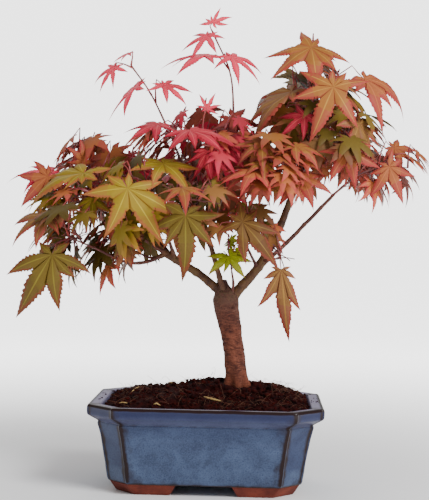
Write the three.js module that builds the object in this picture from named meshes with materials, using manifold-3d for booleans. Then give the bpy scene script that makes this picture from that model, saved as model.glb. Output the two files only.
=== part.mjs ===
// A bonsai Japanese maple in a blue glazed pot with cut corners and four clay feet.
// Millimetres. +Z is up, +X is to the viewer's right and +Y is away from the viewer.

import * as THREE from 'three';
import { mergeVertices } from 'three/addons/utils/BufferGeometryUtils.js';
import Module from 'manifold-3d';

const wasm = await Module();
wasm.setup();

// Pot

const potWidth = 200;
const potDepth = 146;
const potHeight = 74.7;
const potCorner = 23;         // side of the cut-off corner, at the rim
const footHeight = 9.2;
const depthShare = 0.8;       // the front and back lean in less than the ends do
const cornerShare = 0.3;      // and the corners' cuts get shorter
const potProfile = [          // height, how far the wall stands in from the rim, step at a corner
  { z: footHeight, inset: 19.0, step: 1.0 },
  { z: 11, inset: 17.6, step: 1.5 },
  { z: 30, inset: 14.4, step: 1.5 },
  { z: 48, inset: 11.3, step: 1.4 },
  { z: 60, inset: 8.2, step: 1.3 },
  { z: 61, inset: 9.0, step: 0.8 },
  { z: 64, inset: 4.6, step: 1.0 },
  { z: 67.5, inset: 0.4, step: 2.0 },
  { z: 73.4, inset: 0, step: 2.2 },
  { z: potHeight, inset: 1.2, step: 2.0 },
];
const cavityProfile = [
  { z: 17.2, inset: 26 },
  { z: 20, inset: 23.6 },
  { z: 58, inset: 16.4 },
  { z: 72.6, inset: 12.2 },
  { z: potHeight + 1, inset: 11.2 },
];
const drainRadius = 6;
const drainSides = 12;
const drainPlaces = [-42, 42];
const footReach = 52;         // how far a foot runs along the front from its corner
const footReturn = 38;        // and along the end
const footWidth = 15;
const footInset = 0.8;        // how far it stands in from the pot's lower edge
const footInnerCorner = 2;    // how much shorter the cut is on its inner side
const footLean = 5;           // how much narrower its underside is, on each side

// Soil

const soilGap = 0.3;
const soilSides = 24;
const soilEdge = 71.4;
const seat = { x: 25, y: 0, z: 88.6, radius: 16 };
const soilRings = [0.14, 0.32, 0.52, 0.76];   // share of the way from the edge to the trunk
const soilLumps = 1.1;

// Trunk: centre, height and radius of each level section, up to the sawn stub over the fork

const trunkSides = 14;
const trunkSections = [
  { x: 25.2, z: seat.z, radius: 12.6 },
  { x: 25.0, z: 91, radius: 11.2 },
  { x: 24.4, z: 96, radius: 10.2 },
  { x: 23.2, z: 108, radius: 9.4 },
  { x: 21.6, z: 122, radius: 9.2 },
  { x: 19.2, z: 134, radius: 9.5 },
  { x: 17.0, z: 144, radius: 10.0 },
  { x: 15.0, z: 152, radius: 10.7 },
  { x: 14.2, z: 160, radius: 11.0 },
  { x: 13.8, z: 166, radius: 10.2 },
  { x: 12.4, z: 171, radius: 7.2 },
  { x: 11.2, z: 175, radius: 5.2 },
  { x: 10.5, z: 178.6, radius: 4.4 },
];
const rootLobes = 5;
const rootTurn = 1;           // radians
const rootFlare = 0.16;       // how much the roots stand out at the soil, as a share of the radius
const rootHeight = 9;
const barkSwell = 0.05;

// Boughs and limbs: points along the middle, radius at the base and at the tip.
// Each one starts inside what carries it and is cut clear of it.

const clearance = 0.3;
const limbSides = 5;
const limbSteps = 2;            // rows of faces between two of its points
const woodMargin = 0.8;         // leaves and twigs keep this far from a limb
const limbs = [
  {
    name: 'left_bough',
    points: [[14, 0, 162], [4, -1, 173], [-12, -3, 185], [-41, -6, 202]],
    radius: [3.9, 3.0],
  },
  {
    name: 'right_bough',
    points: [[17, 0, 158], [23, 0, 168], [45, 3, 195], [64, 6, 236], [74, 8, 267], [82, 8, 295]],
    radius: [4.6, 2.1],
  },
  {
    name: 'centre_stem',
    points: [[13, -2, 164], [10.5, -6, 175], [0, -7, 209], [-9, -6, 238], [-18, 0, 290]],
    radius: [2.5, 1.2],
  },
  { name: 'fork_twig', points: [[18, -3, 163], [20.5, -5, 174], [19, -6, 186]], radius: [1.4, 0.8] },
  {
    name: 'left_low_limb',
    points: [[-38, -6, 201], [-56, -13, 193], [-75, -20, 194], [-94, -27, 203]],
    radius: [1.7, 1.0],
  },
  { name: 'left_under_limb', points: [[-38, -5, 200], [-52, 2, 197], [-66, 7, 202]], radius: [1.2, 0.8] },
  { name: 'left_mid_limb', points: [[-37, -7, 200], [-53, -15, 210], [-72, -22, 222]], radius: [1.6, 1.0] },
  { name: 'left_back_limb', points: [[-32, -4, 197], [-52, 18, 217], [-80, 40, 243]], radius: [1.6, 1.0] },
  { name: 'left_up_limb', points: [[-31, -6, 197], [-40, -14, 226], [-50, -24, 250]], radius: [1.5, 0.9] },
  { name: 'left_shoot_limb', points: [[-6, -6, 226], [-22, 4, 268], [-36, 6, 302]], radius: [1.3, 0.9] },
  {
    name: 'top_shoot_limb',
    points: [[-3, -6, 217], [9, -1, 252], [16, 2, 283], [18, 2, 302]],
    radius: [1.6, 1.1],
  },
  {
    name: 'centre_front_limb',
    points: [[0, -7, 208], [-8, -20, 224], [-18, -36, 240]],
    radius: [1.3, 0.9],
  },
  { name: 'centre_back_limb', points: [[-5, -6, 222], [-4, 22, 247], [-2, 46, 270]], radius: [1.4, 0.9] },
  { name: 'centre_low_limb', points: [[41, 2, 190], [34, -14, 204], [29, -33, 217]], radius: [1.3, 0.8] },
  {
    name: 'right_hanging_limb',
    points: [[46, 3, 196], [54, -12, 198], [59, -27, 199]],
    radius: [1.2, 0.8],
  },
  {
    name: 'right_side_bough',
    points: [[42, 3, 190], [61, 2, 207], [84, 0, 231], [106, -6, 255]],
    radius: [2.0, 1.4],
  },
  { name: 'right_inner_limb', points: [[74, 8, 268], [68, -8, 276], [60, -24, 277]], radius: [1.2, 0.8] },
  { name: 'right_front_limb', points: [[76, 8, 274], [88, -4, 284], [101, -13, 293]], radius: [1.3, 0.9] },
  { name: 'right_back_limb', points: [[69, 7, 251], [82, 30, 267], [95, 52, 283]], radius: [1.4, 0.9] },
];

// Leaves: five lobes about the heart where the leaf stalk joins, in degrees from the middle lobe

const lobeAngles = [-98, -49, 0, 49, 98];
const lobeLengths = [0.7, 0.92, 1, 0.92, 0.7];
const lobeSwing = 8;          // how far a lobe may lean from its angle
const lobeVariety = 0.16;     // how much shorter than its length a lobe may be
const lobeShoulders = 0.74;   // lobes at least this long, of the blade, have shoulders
const leafSag = [0.08, 0.28]; // how far a blade's tips hang below its heart, of its length
const lobeHalfWidth = 0.13;   // of the lobe's length, half way along it
const leafInlet = 0.32;       // how far out the notch between two lobes lies
const leafThickness = 0.022;  // at the heart, of the middle lobe's length
const testThickness = 0.07;   // the same where it is tried against its neighbours
const testRadius = 0.9;         // of a stalk, where it is tried
const stalkRadius = 0.55;
const stalkBend = 0.3;        // the last part of a stalk, in line with its blade, of its length
const leafBack = 0.09;        // how far behind the heart the stalk joins
const twigSides = 3;
const smallestDetail = 0.06;  // a fused mass has no detail finer than this

// Foliage: each mass grows from the tip of its limb to its heart, and spreads its leaves by reach.
// A leading leaf is placed by hand: its heart, where its middle lobe points, what it faces, its blade.

const masses = [
  {
    name: 'foliage_left_end', limb: 'left_low_limb', heart: [-119, -32, 213], reach: [30, 24, 16],
    shoots: 3, blade: 41, seed: 11, tint: 'olive',
    leads: [
      { at: [-132, -42, 199], points: [-0.36, -0.12, -0.92], faces: [0, -1, 0.16], blade: 62, spread: 1.05 },
      { at: [-138, -44, 231], points: [-0.9, -0.35, -0.42], faces: [-0.1, -0.5, 0.85], blade: 42 },
    ],
  },
  {
    name: 'foliage_left_upper', limb: 'left_mid_limb', heart: [-106, -16, 248], reach: [34, 22, 18],
    shoots: 6, blade: 42, seed: 24, tint: 'green',
    leads: [
      { at: [-108, -32, 268], points: [-0.86, -0.3, -0.42], faces: [-0.12, -0.48, 0.87], blade: 46 },
      { at: [-144, 0, 266], points: [-0.7, -0.15, -0.7], faces: [0.2, -0.8, 0.55], blade: 38 },
    ],
  },
  {
    name: 'foliage_left_front', limb: 'left_up_limb', heart: [-66, -42, 250], reach: [30, 22, 22],
    shoots: 5, blade: 42, seed: 37, tint: 'green',
    leads: [
      { at: [-67, -62, 255], points: [0.5, -0.2, -0.84], faces: [0.05, -0.9, 0.42], blade: 51 },
      { at: [-40, -36, 277], points: [0.66, -0.5, -0.5], faces: [0.1, -0.5, 0.85], blade: 42 },
    ],
  },
  {
    name: 'foliage_left_under', limb: 'left_under_limb', heart: [-82, 8, 208], reach: [32, 24, 12],
    shoots: 3, blade: 36, seed: 41, tint: 'olive', leads: [],
  },
  {
    name: 'foliage_left_back', limb: 'left_back_limb', heart: [-108, 44, 266], reach: [36, 30, 22],
    shoots: 4, blade: 40, seed: 53, tint: 'orange',
    leads: [
      { at: [-116, 18, 281], points: [0.1, -0.2, 1], faces: [0.6, -0.8, 0.1], blade: 22 },
      { at: [-147, 20, 270], points: [-0.75, -0.1, 0.1], faces: [0, -0.5, 0.85], blade: 36 },
    ],
  },
  {
    name: 'foliage_red_crown', limb: 'centre_stem', heart: [-8, -14, 300], reach: [48, 36, 9],
    shoots: 7, blade: 42, seed: 67, tint: 'crimson',
    leads: [
      { at: [-18, -42, 305], points: [0.6, -0.72, -0.36], faces: [0, -0.4, 0.92], blade: 47 },
      { at: [-46, -22, 311], points: [-0.72, -0.6, -0.3], faces: [0, -0.35, 0.95], blade: 38 },
      { at: [-5, -8, 327], points: [0.35, -0.2, 0.9], faces: [0, -0.9, 0.4], blade: 17 },
    ],
  },
  {
    name: 'foliage_left_shoot', limb: 'left_shoot_limb', heart: [-73, 5, 365], reach: [20, 20, 20],
    shoots: 0, seed: 71, tint: 'pink',
    leads: [
      { at: [-76, 5, 375], points: [-0.85, -0.1, -0.4], faces: [-0.3, -0.3, 0.9], blade: 18, from: 1 },
      { at: [-88, 2, 362], points: [-0.62, -0.25, -0.75], faces: [-0.5, -0.6, 0.6], blade: 28, from: 0.97 },
      { at: [-69, 6, 346], points: [-0.74, 0.1, -0.66], faces: [-0.6, -0.3, 0.75], blade: 41, from: 0.66 },
      { at: [-43, -5, 347], points: [0.8, -0.25, -0.45], faces: [0.35, -0.6, 0.8], blade: 32, from: 0.6 },
    ],
  },
  {
    name: 'foliage_top_shoot', limb: 'top_shoot_limb', heart: [-1, 0, 393], reach: [20, 20, 20],
    shoots: 0, seed: 83, tint: 'pink',
    leads: [
      { at: [-2, -3, 402], points: [0.5, -0.15, 0.8], faces: [-0.1, -0.95, 0.2], blade: 17, from: 1 },
      { at: [-6, -6, 390], points: [-0.5, -0.55, -0.65], faces: [-0.3, -0.6, 0.75], blade: 29, from: 0.98 },
      { at: [-7, -4, 373], points: [-1, -0.1, -0.06], faces: [0, -0.25, 1], blade: 46, from: 0.72 },
      { at: [15, -3, 372], points: [0.86, -0.2, -0.42], faces: [0.3, -0.5, 0.85], blade: 39, from: 0.72 },
    ],
  },
  {
    name: 'foliage_centre_front', limb: 'centre_front_limb', heart: [-20, -50, 246], reach: [24, 18, 18],
    shoots: 3, blade: 38, seed: 97, tint: 'olive',
    leads: [
      { at: [-19, -58, 234], points: [0.03, -0.15, -1], faces: [0, -0.97, 0.2], blade: 50 },
    ],
  },
  {
    name: 'foliage_centre_low', limb: 'centre_low_limb', heart: [30, -44, 228], reach: [22, 16, 14],
    shoots: 3, blade: 36, seed: 101, tint: 'orange',
    leads: [
      { at: [28, -54, 229], points: [0.5, -0.3, -0.8], faces: [0.05, -0.88, 0.45], blade: 42 },
    ],
  },
  {
    name: 'foliage_centre_back', limb: 'centre_back_limb', heart: [-4, 68, 280], reach: [44, 28, 26],
    shoots: 4, blade: 42, seed: 113, tint: 'orange', leads: [],
  },
  {
    name: 'foliage_sprig', limb: 'fork_twig', heart: [18, -12, 197], reach: [8, 8, 5],
    shoots: 1, blade: 18, seed: 127, tint: 'green',
    leads: [
      { at: [17, -20, 200], points: [0.3, -0.35, -0.9], faces: [0, -0.85, 0.5], blade: 22 },
    ],
  },
  {
    name: 'foliage_top_right', limb: 'right_bough', heart: [88, 0, 338], reach: [30, 24, 30],
    shoots: 6, blade: 44, seed: 131, tint: 'orange',
    leads: [
      { at: [84, -6, 381], points: [-0.12, -0.72, -0.66], faces: [-0.05, -0.62, 0.78], blade: 48 },
      { at: [102, -36, 344], points: [-0.25, -0.25, -0.9], faces: [0, -0.92, 0.38], blade: 50, spread: 1.1 },
      { at: [68, -12, 342], points: [-0.9, -0.2, -0.5], faces: [-0.25, -0.5, 0.82], blade: 50 },
      { at: [130, 0, 356], points: [0.76, -0.15, -0.6], faces: [0.3, -0.6, 0.75], blade: 46 },
      { at: [79, -20, 321], points: [-0.75, -0.2, -0.55], faces: [-0.1, -0.7, 0.7], blade: 32 },
    ],
  },
  {
    name: 'foliage_right_front', limb: 'right_front_limb', heart: [114, -20, 302], reach: [26, 20, 22],
    shoots: 5, blade: 42, seed: 149, tint: 'olive',
    leads: [
      { at: [124, -28, 314], points: [0.4, -0.22, -0.88], faces: [0.7, -0.65, 0.3], blade: 40 },
      { at: [115, -44, 290], points: [0.25, -0.4, -0.88], faces: [0.1, -0.8, 0.6], blade: 38 },
    ],
  },
  {
    name: 'foliage_right_end', limb: 'right_side_bough', heart: [143, -8, 279], reach: [20, 22, 14],
    shoots: 3, blade: 32, seed: 151, tint: 'orange',
    leads: [
      { at: [152, -16, 279], points: [0.36, -0.2, -0.92], faces: [0, -0.95, 0.3], blade: 34, spread: 1.1 },
      { at: [158, 2, 296], points: [0.85, -0.15, -0.5], faces: [0.1, -0.6, 0.8], blade: 30 },
    ],
  },
  {
    name: 'foliage_right_inner', limb: 'right_inner_limb', heart: [56, -38, 272], reach: [24, 18, 14],
    shoots: 4, blade: 36, seed: 163, tint: 'orange',
    leads: [
      { at: [76, -46, 266], points: [0.3, -0.75, -0.55], faces: [0, -0.6, 0.8], blade: 38 },
    ],
  },
  {
    name: 'foliage_right_back', limb: 'right_back_limb', heart: [108, 64, 300], reach: [38, 28, 32],
    shoots: 4, blade: 42, seed: 173, tint: 'olive', leads: [],
  },
  {
    name: 'foliage_right_hanging', limb: 'right_hanging_limb', heart: [60, -34, 204], reach: [14, 12, 12],
    shoots: 2, blade: 36, seed: 181, tint: 'orange',
    leads: [
      { at: [61, -40, 190], points: [0.12, -0.12, -1], faces: [0.1, -0.98, 0.1], blade: 58, spread: 0.6 },
    ],
  },
];
const stemTip = 0.7;                  // radius of a stem's end
const stemSides = 4;
const stemRoot = 3;                   // how far a stem starts inside its limb's tip
const stemLead = 0.4;                 // how far it goes on in the limb's direction, of the way
const stemBend = 0.3;                 // and how far that place is drawn to the heart
const leadJoints = [0.55, 0.7, 0.85, 1];
const shootRadius = [0.75, 0.6];
const shootRise = 0.08;               // how much a shoot arches, of its length
const shootReach = [0.55, 0.8];       // how far it goes out to the mass's reach
const outerJoint = 0.95;              // where its two pairs of leaves stand, from its middle to its end
const innerJoint = 0.2;               // and from its middle to its start
const twigMargin = 0.35;              // twigs keep this far from each other
const spaceMargin = 24;               // a leaf's blade may reach this far past its mass's reach
const goldenAngle = Math.PI * (3 - Math.sqrt(5));

// How a leaf stands on its twig. Pairs of numbers are the least and the most.

const tries = 5;
const triesTurn = 38;                 // degrees round the twig from one try to the next
const pairSwing = 15;                 // degrees, either way
const stalkAhead = 0.5;               // how far stalks lean forwards along the twig
const stalkLift = 0.1;
const stalkShare = [0.43, 0.74];      // length of a leaf stalk, of the blade
const bladeShare = [0.78, 1.18];      // of the mass's blade
const leafOutwards = 0.45;
const leafDroop = [0.35, 0.95];
const leafSpread = [0.7, 1];
const crownAxis = { x: 15, y: 0 };
const crownBase = 190;
const crownHeight = 140;
const risingFace = [0.4, 1.3];        // how far leaves face upwards, at the crown's foot and its top
const faceOutwards = 0.5;
const faceSwing = 0.2;
const viewerSide = [0, -0.3, 0.25];   // the plant has been turned so that its leaves favour this side

// Finishes

const finish = (color, roughness) => new THREE.MeshStandardMaterial({ color, roughness, metalness: 0 });
const glaze = finish(0x4a6a92, 0.25);
const bareClay = finish(0x7a3f2c, 0.85);
const peat = finish(0x2a1a12, 0.95);
const bark = finish(0x6b4c3c, 0.85);
const youngBark = finish(0x5a3a30, 0.7);
const leafTints = {
  green: finish(0xa8a04a, 0.6),
  olive: finish(0x8f7c42, 0.6),
  orange: finish(0xb0664a, 0.6),
  crimson: finish(0xb03a4c, 0.6),
  pink: finish(0xd0606c, 0.6),
};

// Small helpers

const radians = (degrees) => degrees * Math.PI / 180;
const vector = (numbers) => new THREE.Vector3(...numbers);
const mix = (a, b, share) => a + (b - a) * share;

// A repeatable number from 0 to 1 for a key and a place in its row.
function chance(key, place) {
  const wave = Math.sin(key * 12.9898 + place * 78.233) * 43758.5453;
  return wave - Math.floor(wave);
}

// Solids: the geometry with its shared corners merged, and back again.
function solidOf(geometry) {
  const bare = geometry.clone();
  bare.deleteAttribute('normal');
  bare.deleteAttribute('uv');
  const merged = mergeVertices(bare, 1e-4);
  return new wasm.Manifold(new wasm.Mesh({
    numProp: 3,
    vertProperties: new Float32Array(merged.attributes.position.array),
    triVerts: new Uint32Array(merged.index.array),
  }));
}

function geometryOf(solid) {
  const mesh = solid.getMesh();
  const geometry = new THREE.BufferGeometry();
  geometry.setAttribute('position', new THREE.BufferAttribute(mesh.vertProperties, 3));
  geometry.setIndex(new THREE.BufferAttribute(mesh.triVerts, 1));
  geometry.computeVertexNormals();
  return geometry;
}

// The largest piece of a solid, so that scraps are dropped and sealed hollows filled.
function largestPiece(solid) {
  const pieces = solid.decompose();
  return pieces.reduce((best, piece) => (piece.volume() > best.volume() ? piece : best));
}

// A closed body through level rings of as many points each, lowest first, with flat ends.
function loft(rings) {
  const size = rings[0].length;
  const positions = rings.flat().flatMap((point) => point);
  const index = [];
  for (let row = 0; row + 1 < rings.length; row += 1) {
    for (let column = 0; column < size; column += 1) {
      const a = row * size + column;
      const b = row * size + (column + 1) % size;
      index.push(a, b, b + size, a, b + size, a + size);
    }
  }
  const flat = (ring) => ring.map(([x, y]) => new THREE.Vector2(x, y));
  const last = (rings.length - 1) * size;
  for (const [a, b, c] of THREE.ShapeUtils.triangulateShape(flat(rings[0]), [])) index.push(a, c, b);
  for (const [a, b, c] of THREE.ShapeUtils.triangulateShape(flat(rings.at(-1)), [])) {
    index.push(last + a, last + b, last + c);
  }
  const geometry = new THREE.BufferGeometry();
  geometry.setAttribute('position', new THREE.Float32BufferAttribute(positions, 3));
  geometry.setIndex(index);
  return geometry;
}

// Pot: a rectangle whose corners are cut off, with a small step where each cut meets its panel.
function potRing({ z, inset, step }) {
  const halfWidth = potWidth / 2 - inset;
  const halfDepth = potDepth / 2 - inset * depthShare;
  const corner = potCorner - inset * cornerShare;
  const quarter = [
    [halfWidth, halfDepth - corner],
    [halfWidth - step, halfDepth - corner],
    [halfWidth - corner, halfDepth - step],
    [halfWidth - corner, halfDepth],
  ];
  const turned = (signX, signY) => quarter.map(([x, y]) => [signX * x, signY * y, z]);
  return [...turned(1, 1), ...turned(-1, 1).reverse(), ...turned(-1, -1), ...turned(1, -1).reverse()];
}

// The same rectangle without steps, as the distance from the centre in a direction.
function planRadius(angle, inset) {
  const halfWidth = potWidth / 2 - inset;
  const halfDepth = potDepth / 2 - inset * depthShare;
  const corner = potCorner - inset * cornerShare;
  const across = Math.abs(Math.cos(angle));
  const along = Math.abs(Math.sin(angle));
  return Math.min(halfWidth / across, halfDepth / along, (halfWidth + halfDepth - corner) / (across + along));
}

function innerRing({ z, inset }) {
  return Array.from({ length: soilSides }, (_, i) => {
    const angle = 2 * Math.PI * i / soilSides;
    const radius = planRadius(angle, inset);
    return [radius * Math.cos(angle), radius * Math.sin(angle), z];
  });
}

function makePot() {
  let body = solidOf(loft(potProfile.map(potRing)));
  body = body.subtract(solidOf(loft(cavityProfile.map(innerRing))));
  for (const x of drainPlaces) {
    const drain = new THREE.CylinderGeometry(drainRadius, drainRadius, 4 * footHeight, drainSides);
    drain.rotateX(Math.PI / 2).translate(x, 0, footHeight);
    body = body.subtract(solidOf(drain));
  }
  return geometryOf(body);
}

// One foot wraps a corner of the pot and narrows towards the ground.
function makeFoot(signX, signY) {
  const base = potProfile[0].inset + footInset;
  const ring = (z, lean) => {
    const halfWidth = potWidth / 2 - base - lean;
    const halfDepth = potDepth / 2 - base * depthShare - lean;
    const corner = potCorner - base * cornerShare;
    const width = footWidth - lean;
    const points = [
      [halfWidth, halfDepth - footReturn + lean],
      [halfWidth, halfDepth - corner],
      [halfWidth - corner, halfDepth],
      [halfWidth - footReach + lean, halfDepth],
      [halfWidth - footReach + lean, halfDepth - width],
      [halfWidth - corner - footInnerCorner, halfDepth - width],
      [halfWidth - width, halfDepth - corner - footInnerCorner],
      [halfWidth - width, halfDepth - footReturn + lean],
    ].map(([x, y]) => [signX * x, signY * y, z]);
    return signX * signY > 0 ? points : points.reverse();
  };
  return loft([ring(0, footLean), ring(footHeight, 0)]);
}

// Soil fills the pot and rises in uneven rings to a level seat under the trunk.
function makeSoil() {
  const walls = cavityProfile.slice(0, 3).map(({ z, inset }) => ({ z: z + soilGap, inset: inset + soilGap }));
  const edge = innerRing({ z: soilEdge, inset: cavityProfile[3].inset + 2 * soilGap });
  const domed = (share, key) => edge.map(([x, y], i) => {
    const angle = 2 * Math.PI * i / soilSides;
    const rise = Math.sin(share * Math.PI / 2);
    return [
      mix(x, seat.x + seat.radius * Math.cos(angle), share),
      mix(y, seat.y + seat.radius * Math.sin(angle), share),
      mix(soilEdge, seat.z, rise) + (share < 1 ? soilLumps * (chance(key, i) - 0.5) : 0),
    ];
  });
  return loft([...walls.map(innerRing), edge, ...soilRings.map(domed), domed(1, 0)]);
}

// Trunk: level sections, with the roots' lobes at its foot and a slightly uneven girth.
function makeTrunk(extra = 0) {
  return loft(trunkSections.map(({ x, z, radius }, row) => {
    const flare = rootFlare * Math.exp(-(z - seat.z) / rootHeight);
    return Array.from({ length: trunkSides }, (_, i) => {
      const angle = 2 * Math.PI * i / trunkSides;
      const girth = 1 + flare * Math.cos(rootLobes * angle + rootTurn) + barkSwell * (chance(row, i) - 0.5);
      const reach = radius * girth + extra;
      return [x + reach * Math.cos(angle), reach * Math.sin(angle), z];
    });
  }));
}

// A round limb: a cylinder bent along a smooth curve through its points, thinning to its tip.
function spine(points, steps) {
  const places = new THREE.CatmullRomCurve3(points.map(vector), false, 'catmullrom', 0.5).getPoints(steps);
  const chord = places[steps].clone().sub(places[0]);
  const guide = vector([Math.abs(chord.x), Math.abs(chord.y), Math.abs(chord.z)]);
  const least = Math.min(guide.x, guide.y, guide.z);
  guide.set(guide.x === least ? 1 : 0, guide.y === least ? 1 : 0, guide.z === least ? 1 : 0);
  return places.map((place, i) => {
    const ahead = places[Math.min(i + 1, steps)].clone().sub(places[Math.max(i - 1, 0)]).normalize();
    const side = ahead.clone().cross(guide).normalize();
    return { place, ahead, side, other: side.clone().cross(ahead) };
  });
}

function tube(points, [start, end], sides, steps) {
  const rows = spine(points, steps);
  const geometry = new THREE.CylinderGeometry(1, 1, 1, sides, steps);
  const position = geometry.attributes.position;
  for (let i = 0; i < position.count; i += 1) {
    const row = Math.round((position.getY(i) + 0.5) * steps);
    const radius = mix(start, end, row / steps);
    const { place, side, other } = rows[row];
    const spot = place.clone().addScaledVector(side, radius * position.getX(i));
    spot.addScaledVector(other, radius * position.getZ(i));
    position.setXYZ(i, spot.x, spot.y, spot.z);
  }
  return geometry;
}

function makeLimbs(trunk) {
  const cutter = solidOf(makeTrunk(clearance));
  const grown = [{ name: 'trunk', solid: trunk, cutter, shape: shapeOf(makeTrunk(woodMargin)) }];
  for (const { name, points, radius } of limbs) {
    const steps = limbSteps * (points.length - 1);
    const wider = (extra) => tube(points, radius.map((r) => r + extra), limbSides, steps);
    let solid = solidOf(wider(0));
    for (const { cutter } of grown) solid = solid.subtract(cutter);
    const cutter = solidOf(wider(clearance));
    const shape = shapeOf(wider(woodMargin));
    grown.push({ name, points, radius, solid: largestPiece(solid), cutter, shape });
  }
  return grown;
}

// A leaf's outline about its heart: x to its right, y along its middle lobe, z out of its face.
// Each long lobe has two shoulders and a tip, and the blade sags with the square of the distance.
function leafOutline(blade, key, spread) {
  const sag = mix(...leafSag, chance(key, 15));
  const lobes = lobeAngles.map((angle, i) => ({
    angle: radians(angle * spread + lobeSwing * (chance(key, i) - 0.5)),
    length: blade * lobeLengths[i] * (1 - lobeVariety * chance(key, i + 7)),
  }));
  const outline = [];
  const mark = (angle, along, across) => {
    const x = along * Math.sin(angle) + across * Math.cos(angle);
    const y = along * Math.cos(angle) - across * Math.sin(angle);
    outline.push([x, y, -sag * (x * x + y * y) / blade]);
  };
  lobes.forEach(({ angle, length }, i) => {
    const shoulder = length > blade * lobeShoulders;
    if (shoulder) mark(angle, length / 2, -lobeHalfWidth * length);
    mark(angle, length, 0);
    if (shoulder) mark(angle, length / 2, lobeHalfWidth * length);
    const next = lobes[i + 1];
    if (next) mark((angle + next.angle) / 2, leafInlet * (length + next.length) / 2, 0);
  });
  return outline;
}

// A leaf is a thin lens: its outline, with one point above its heart and one below.
// Its stalk has three sides, whose last ring closes the lens behind the heart.
function leafGeometry({ at, along, side, face, blade, key, spread }, thickness, stalk) {
  const outline = leafOutline(blade, key, spread);
  const half = thickness * blade / 2;
  const placed = ([x, y, z]) => {
    const across = side.clone().multiplyScalar(x).addScaledVector(along, y);
    return at.clone().add(across).addScaledVector(face, z);
  };
  const corners = [[0, 0, half], [0, 0, -half], ...outline].map(placed);
  const index = [];
  for (let i = 2; i <= outline.length; i += 1) index.push(0, i + 1, i, 1, i, i + 1);
  const first = 2;
  const last = outline.length + 1;
  const ring = last + 1;
  index.push(0, ring, last, 0, ring + 1, ring, 0, ring + 2, ring + 1, 0, first, ring + 2);
  index.push(1, last, ring, 1, ring, ring + 2, 1, ring + 2, first);
  stalk.forEach((place, row) => {
    const before = stalk[Math.max(row - 1, 0)];
    const ahead = row === 0 ? along : before.clone().sub(stalk[row + 1] ?? place).normalize();
    const right = side.clone().addScaledVector(ahead, -side.dot(ahead)).normalize();
    const top = right.clone().cross(ahead);
    for (const turn of [-30, 90, 210].map(radians)) {
      const corner = place.clone().addScaledVector(right, Math.cos(turn) * stalkRadius);
      corners.push(corner.addScaledVector(top, Math.sin(turn) * stalkRadius));
    }
    if (row === 0) return;
    for (let i = 0; i < 3; i += 1) {
      const a = ring + 3 * (row - 1) + i;
      const b = ring + 3 * (row - 1) + (i + 1) % 3;
      index.push(a, b, b + 3, a, b + 3, a + 3);
    }
  });
  const end = corners.length - 3;
  index.push(end, end + 1, end + 2);
  const geometry = new THREE.BufferGeometry();
  geometry.setAttribute('position', new THREE.Float32BufferAttribute(corners.flatMap((c) => c.toArray()), 3));
  geometry.setIndex(index);
  return geometry;
}

// The middle line of a leaf's stalk, from its blade back to its joint on the twig.
function stalkLine({ at, along, blade }, joint) {
  const back = at.clone().addScaledVector(along, -leafBack * blade);
  return [back, back.clone().addScaledVector(along, -stalkBend * back.distanceTo(joint)), joint];
}

function leafFrame(at, points, faces, blade, key, spread) {
  const along = points.clone().normalize();
  const face = faces.clone().addScaledVector(along, -faces.dot(along)).normalize();
  return { at, along, face, side: along.clone().cross(face), blade, key, spread };
}

// Does one piece's surface cross another's? Every edge of each is tried against the other's faces.
function shapeOf(geometry) {
  const bare = geometry.clone();
  bare.deleteAttribute('normal');
  bare.deleteAttribute('uv');
  const merged = mergeVertices(bare, 1e-4);
  const corners = [];
  for (let i = 0; i < merged.attributes.position.count; i += 1) {
    corners.push(new THREE.Vector3().fromBufferAttribute(merged.attributes.position, i));
  }
  const faces = [];
  const edges = new Map();
  for (let i = 0; i < merged.index.count; i += 3) {
    const face = [0, 1, 2].map((j) => merged.index.getX(i + j));
    faces.push(face.map((corner) => corners[corner]));
    face.forEach((a, j) => {
      const b = face[(j + 1) % 3];
      edges.set(`${Math.min(a, b)} ${Math.max(a, b)}`, [corners[a], corners[b]]);
    });
  }
  return { faces, edges: [...edges.values()], box: new THREE.Box3().setFromPoints(corners) };
}

function edgesCross(edges, faces, box) {
  const ray = new THREE.Ray();
  const hit = new THREE.Vector3();
  return edges.some(([a, b]) => {
    const length = a.distanceTo(b);
    if (Math.min(a.x, b.x) > box.max.x || Math.max(a.x, b.x) < box.min.x) return false;
    if (Math.min(a.y, b.y) > box.max.y || Math.max(a.y, b.y) < box.min.y) return false;
    if (Math.min(a.z, b.z) > box.max.z || Math.max(a.z, b.z) < box.min.z) return false;
    ray.origin.copy(a);
    ray.direction.copy(b).sub(a).divideScalar(length);
    return faces.some((face) => ray.intersectTriangle(...face, false, hit) && hit.distanceTo(a) <= length);
  });
}

function cross(one, other) {
  if (!one.box.intersectsBox(other.box)) return false;
  return edgesCross(one.edges, other.faces, other.box) || edgesCross(other.edges, one.faces, one.box);
}

// Growing: everything that stands so far, so that nothing new touches it.
const standing = [];
const blocked = (shape, passes) => standing.some((old) => !passes(old) && cross(shape, old.shape));

// A mass's own space: inside its reach and a margin, and nearer to it than to any other mass.
function owns(mass, point) {
  const gap = point.clone().sub(vector(mass.heart));
  const share = gap.divide(vector(mass.reach).addScalar(spaceMargin)).length();
  const size = ({ reach }) => (reach[0] + reach[1] + reach[2]) / 3 + spaceMargin;
  const pull = (other) => point.distanceToSquared(vector(other.heart)) - size(other) ** 2;
  return share <= 1 && masses.every((other) => pull(mass) <= pull(other));
}

// A shoot may touch only the wood of its own mass, which it grows from.
function addShoot(mass, points) {
  const shape = shapeOf(tube(points, shootRadius.map((r) => r + twigMargin), twigSides, 2));
  if (blocked(shape, (old) => old.mass === mass && old.wood)) return false;
  mass.parts.push(solidOf(tube(points, shootRadius, twigSides, 2)));
  standing.push({ mass, wood: true, shape });
  return true;
}

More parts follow.
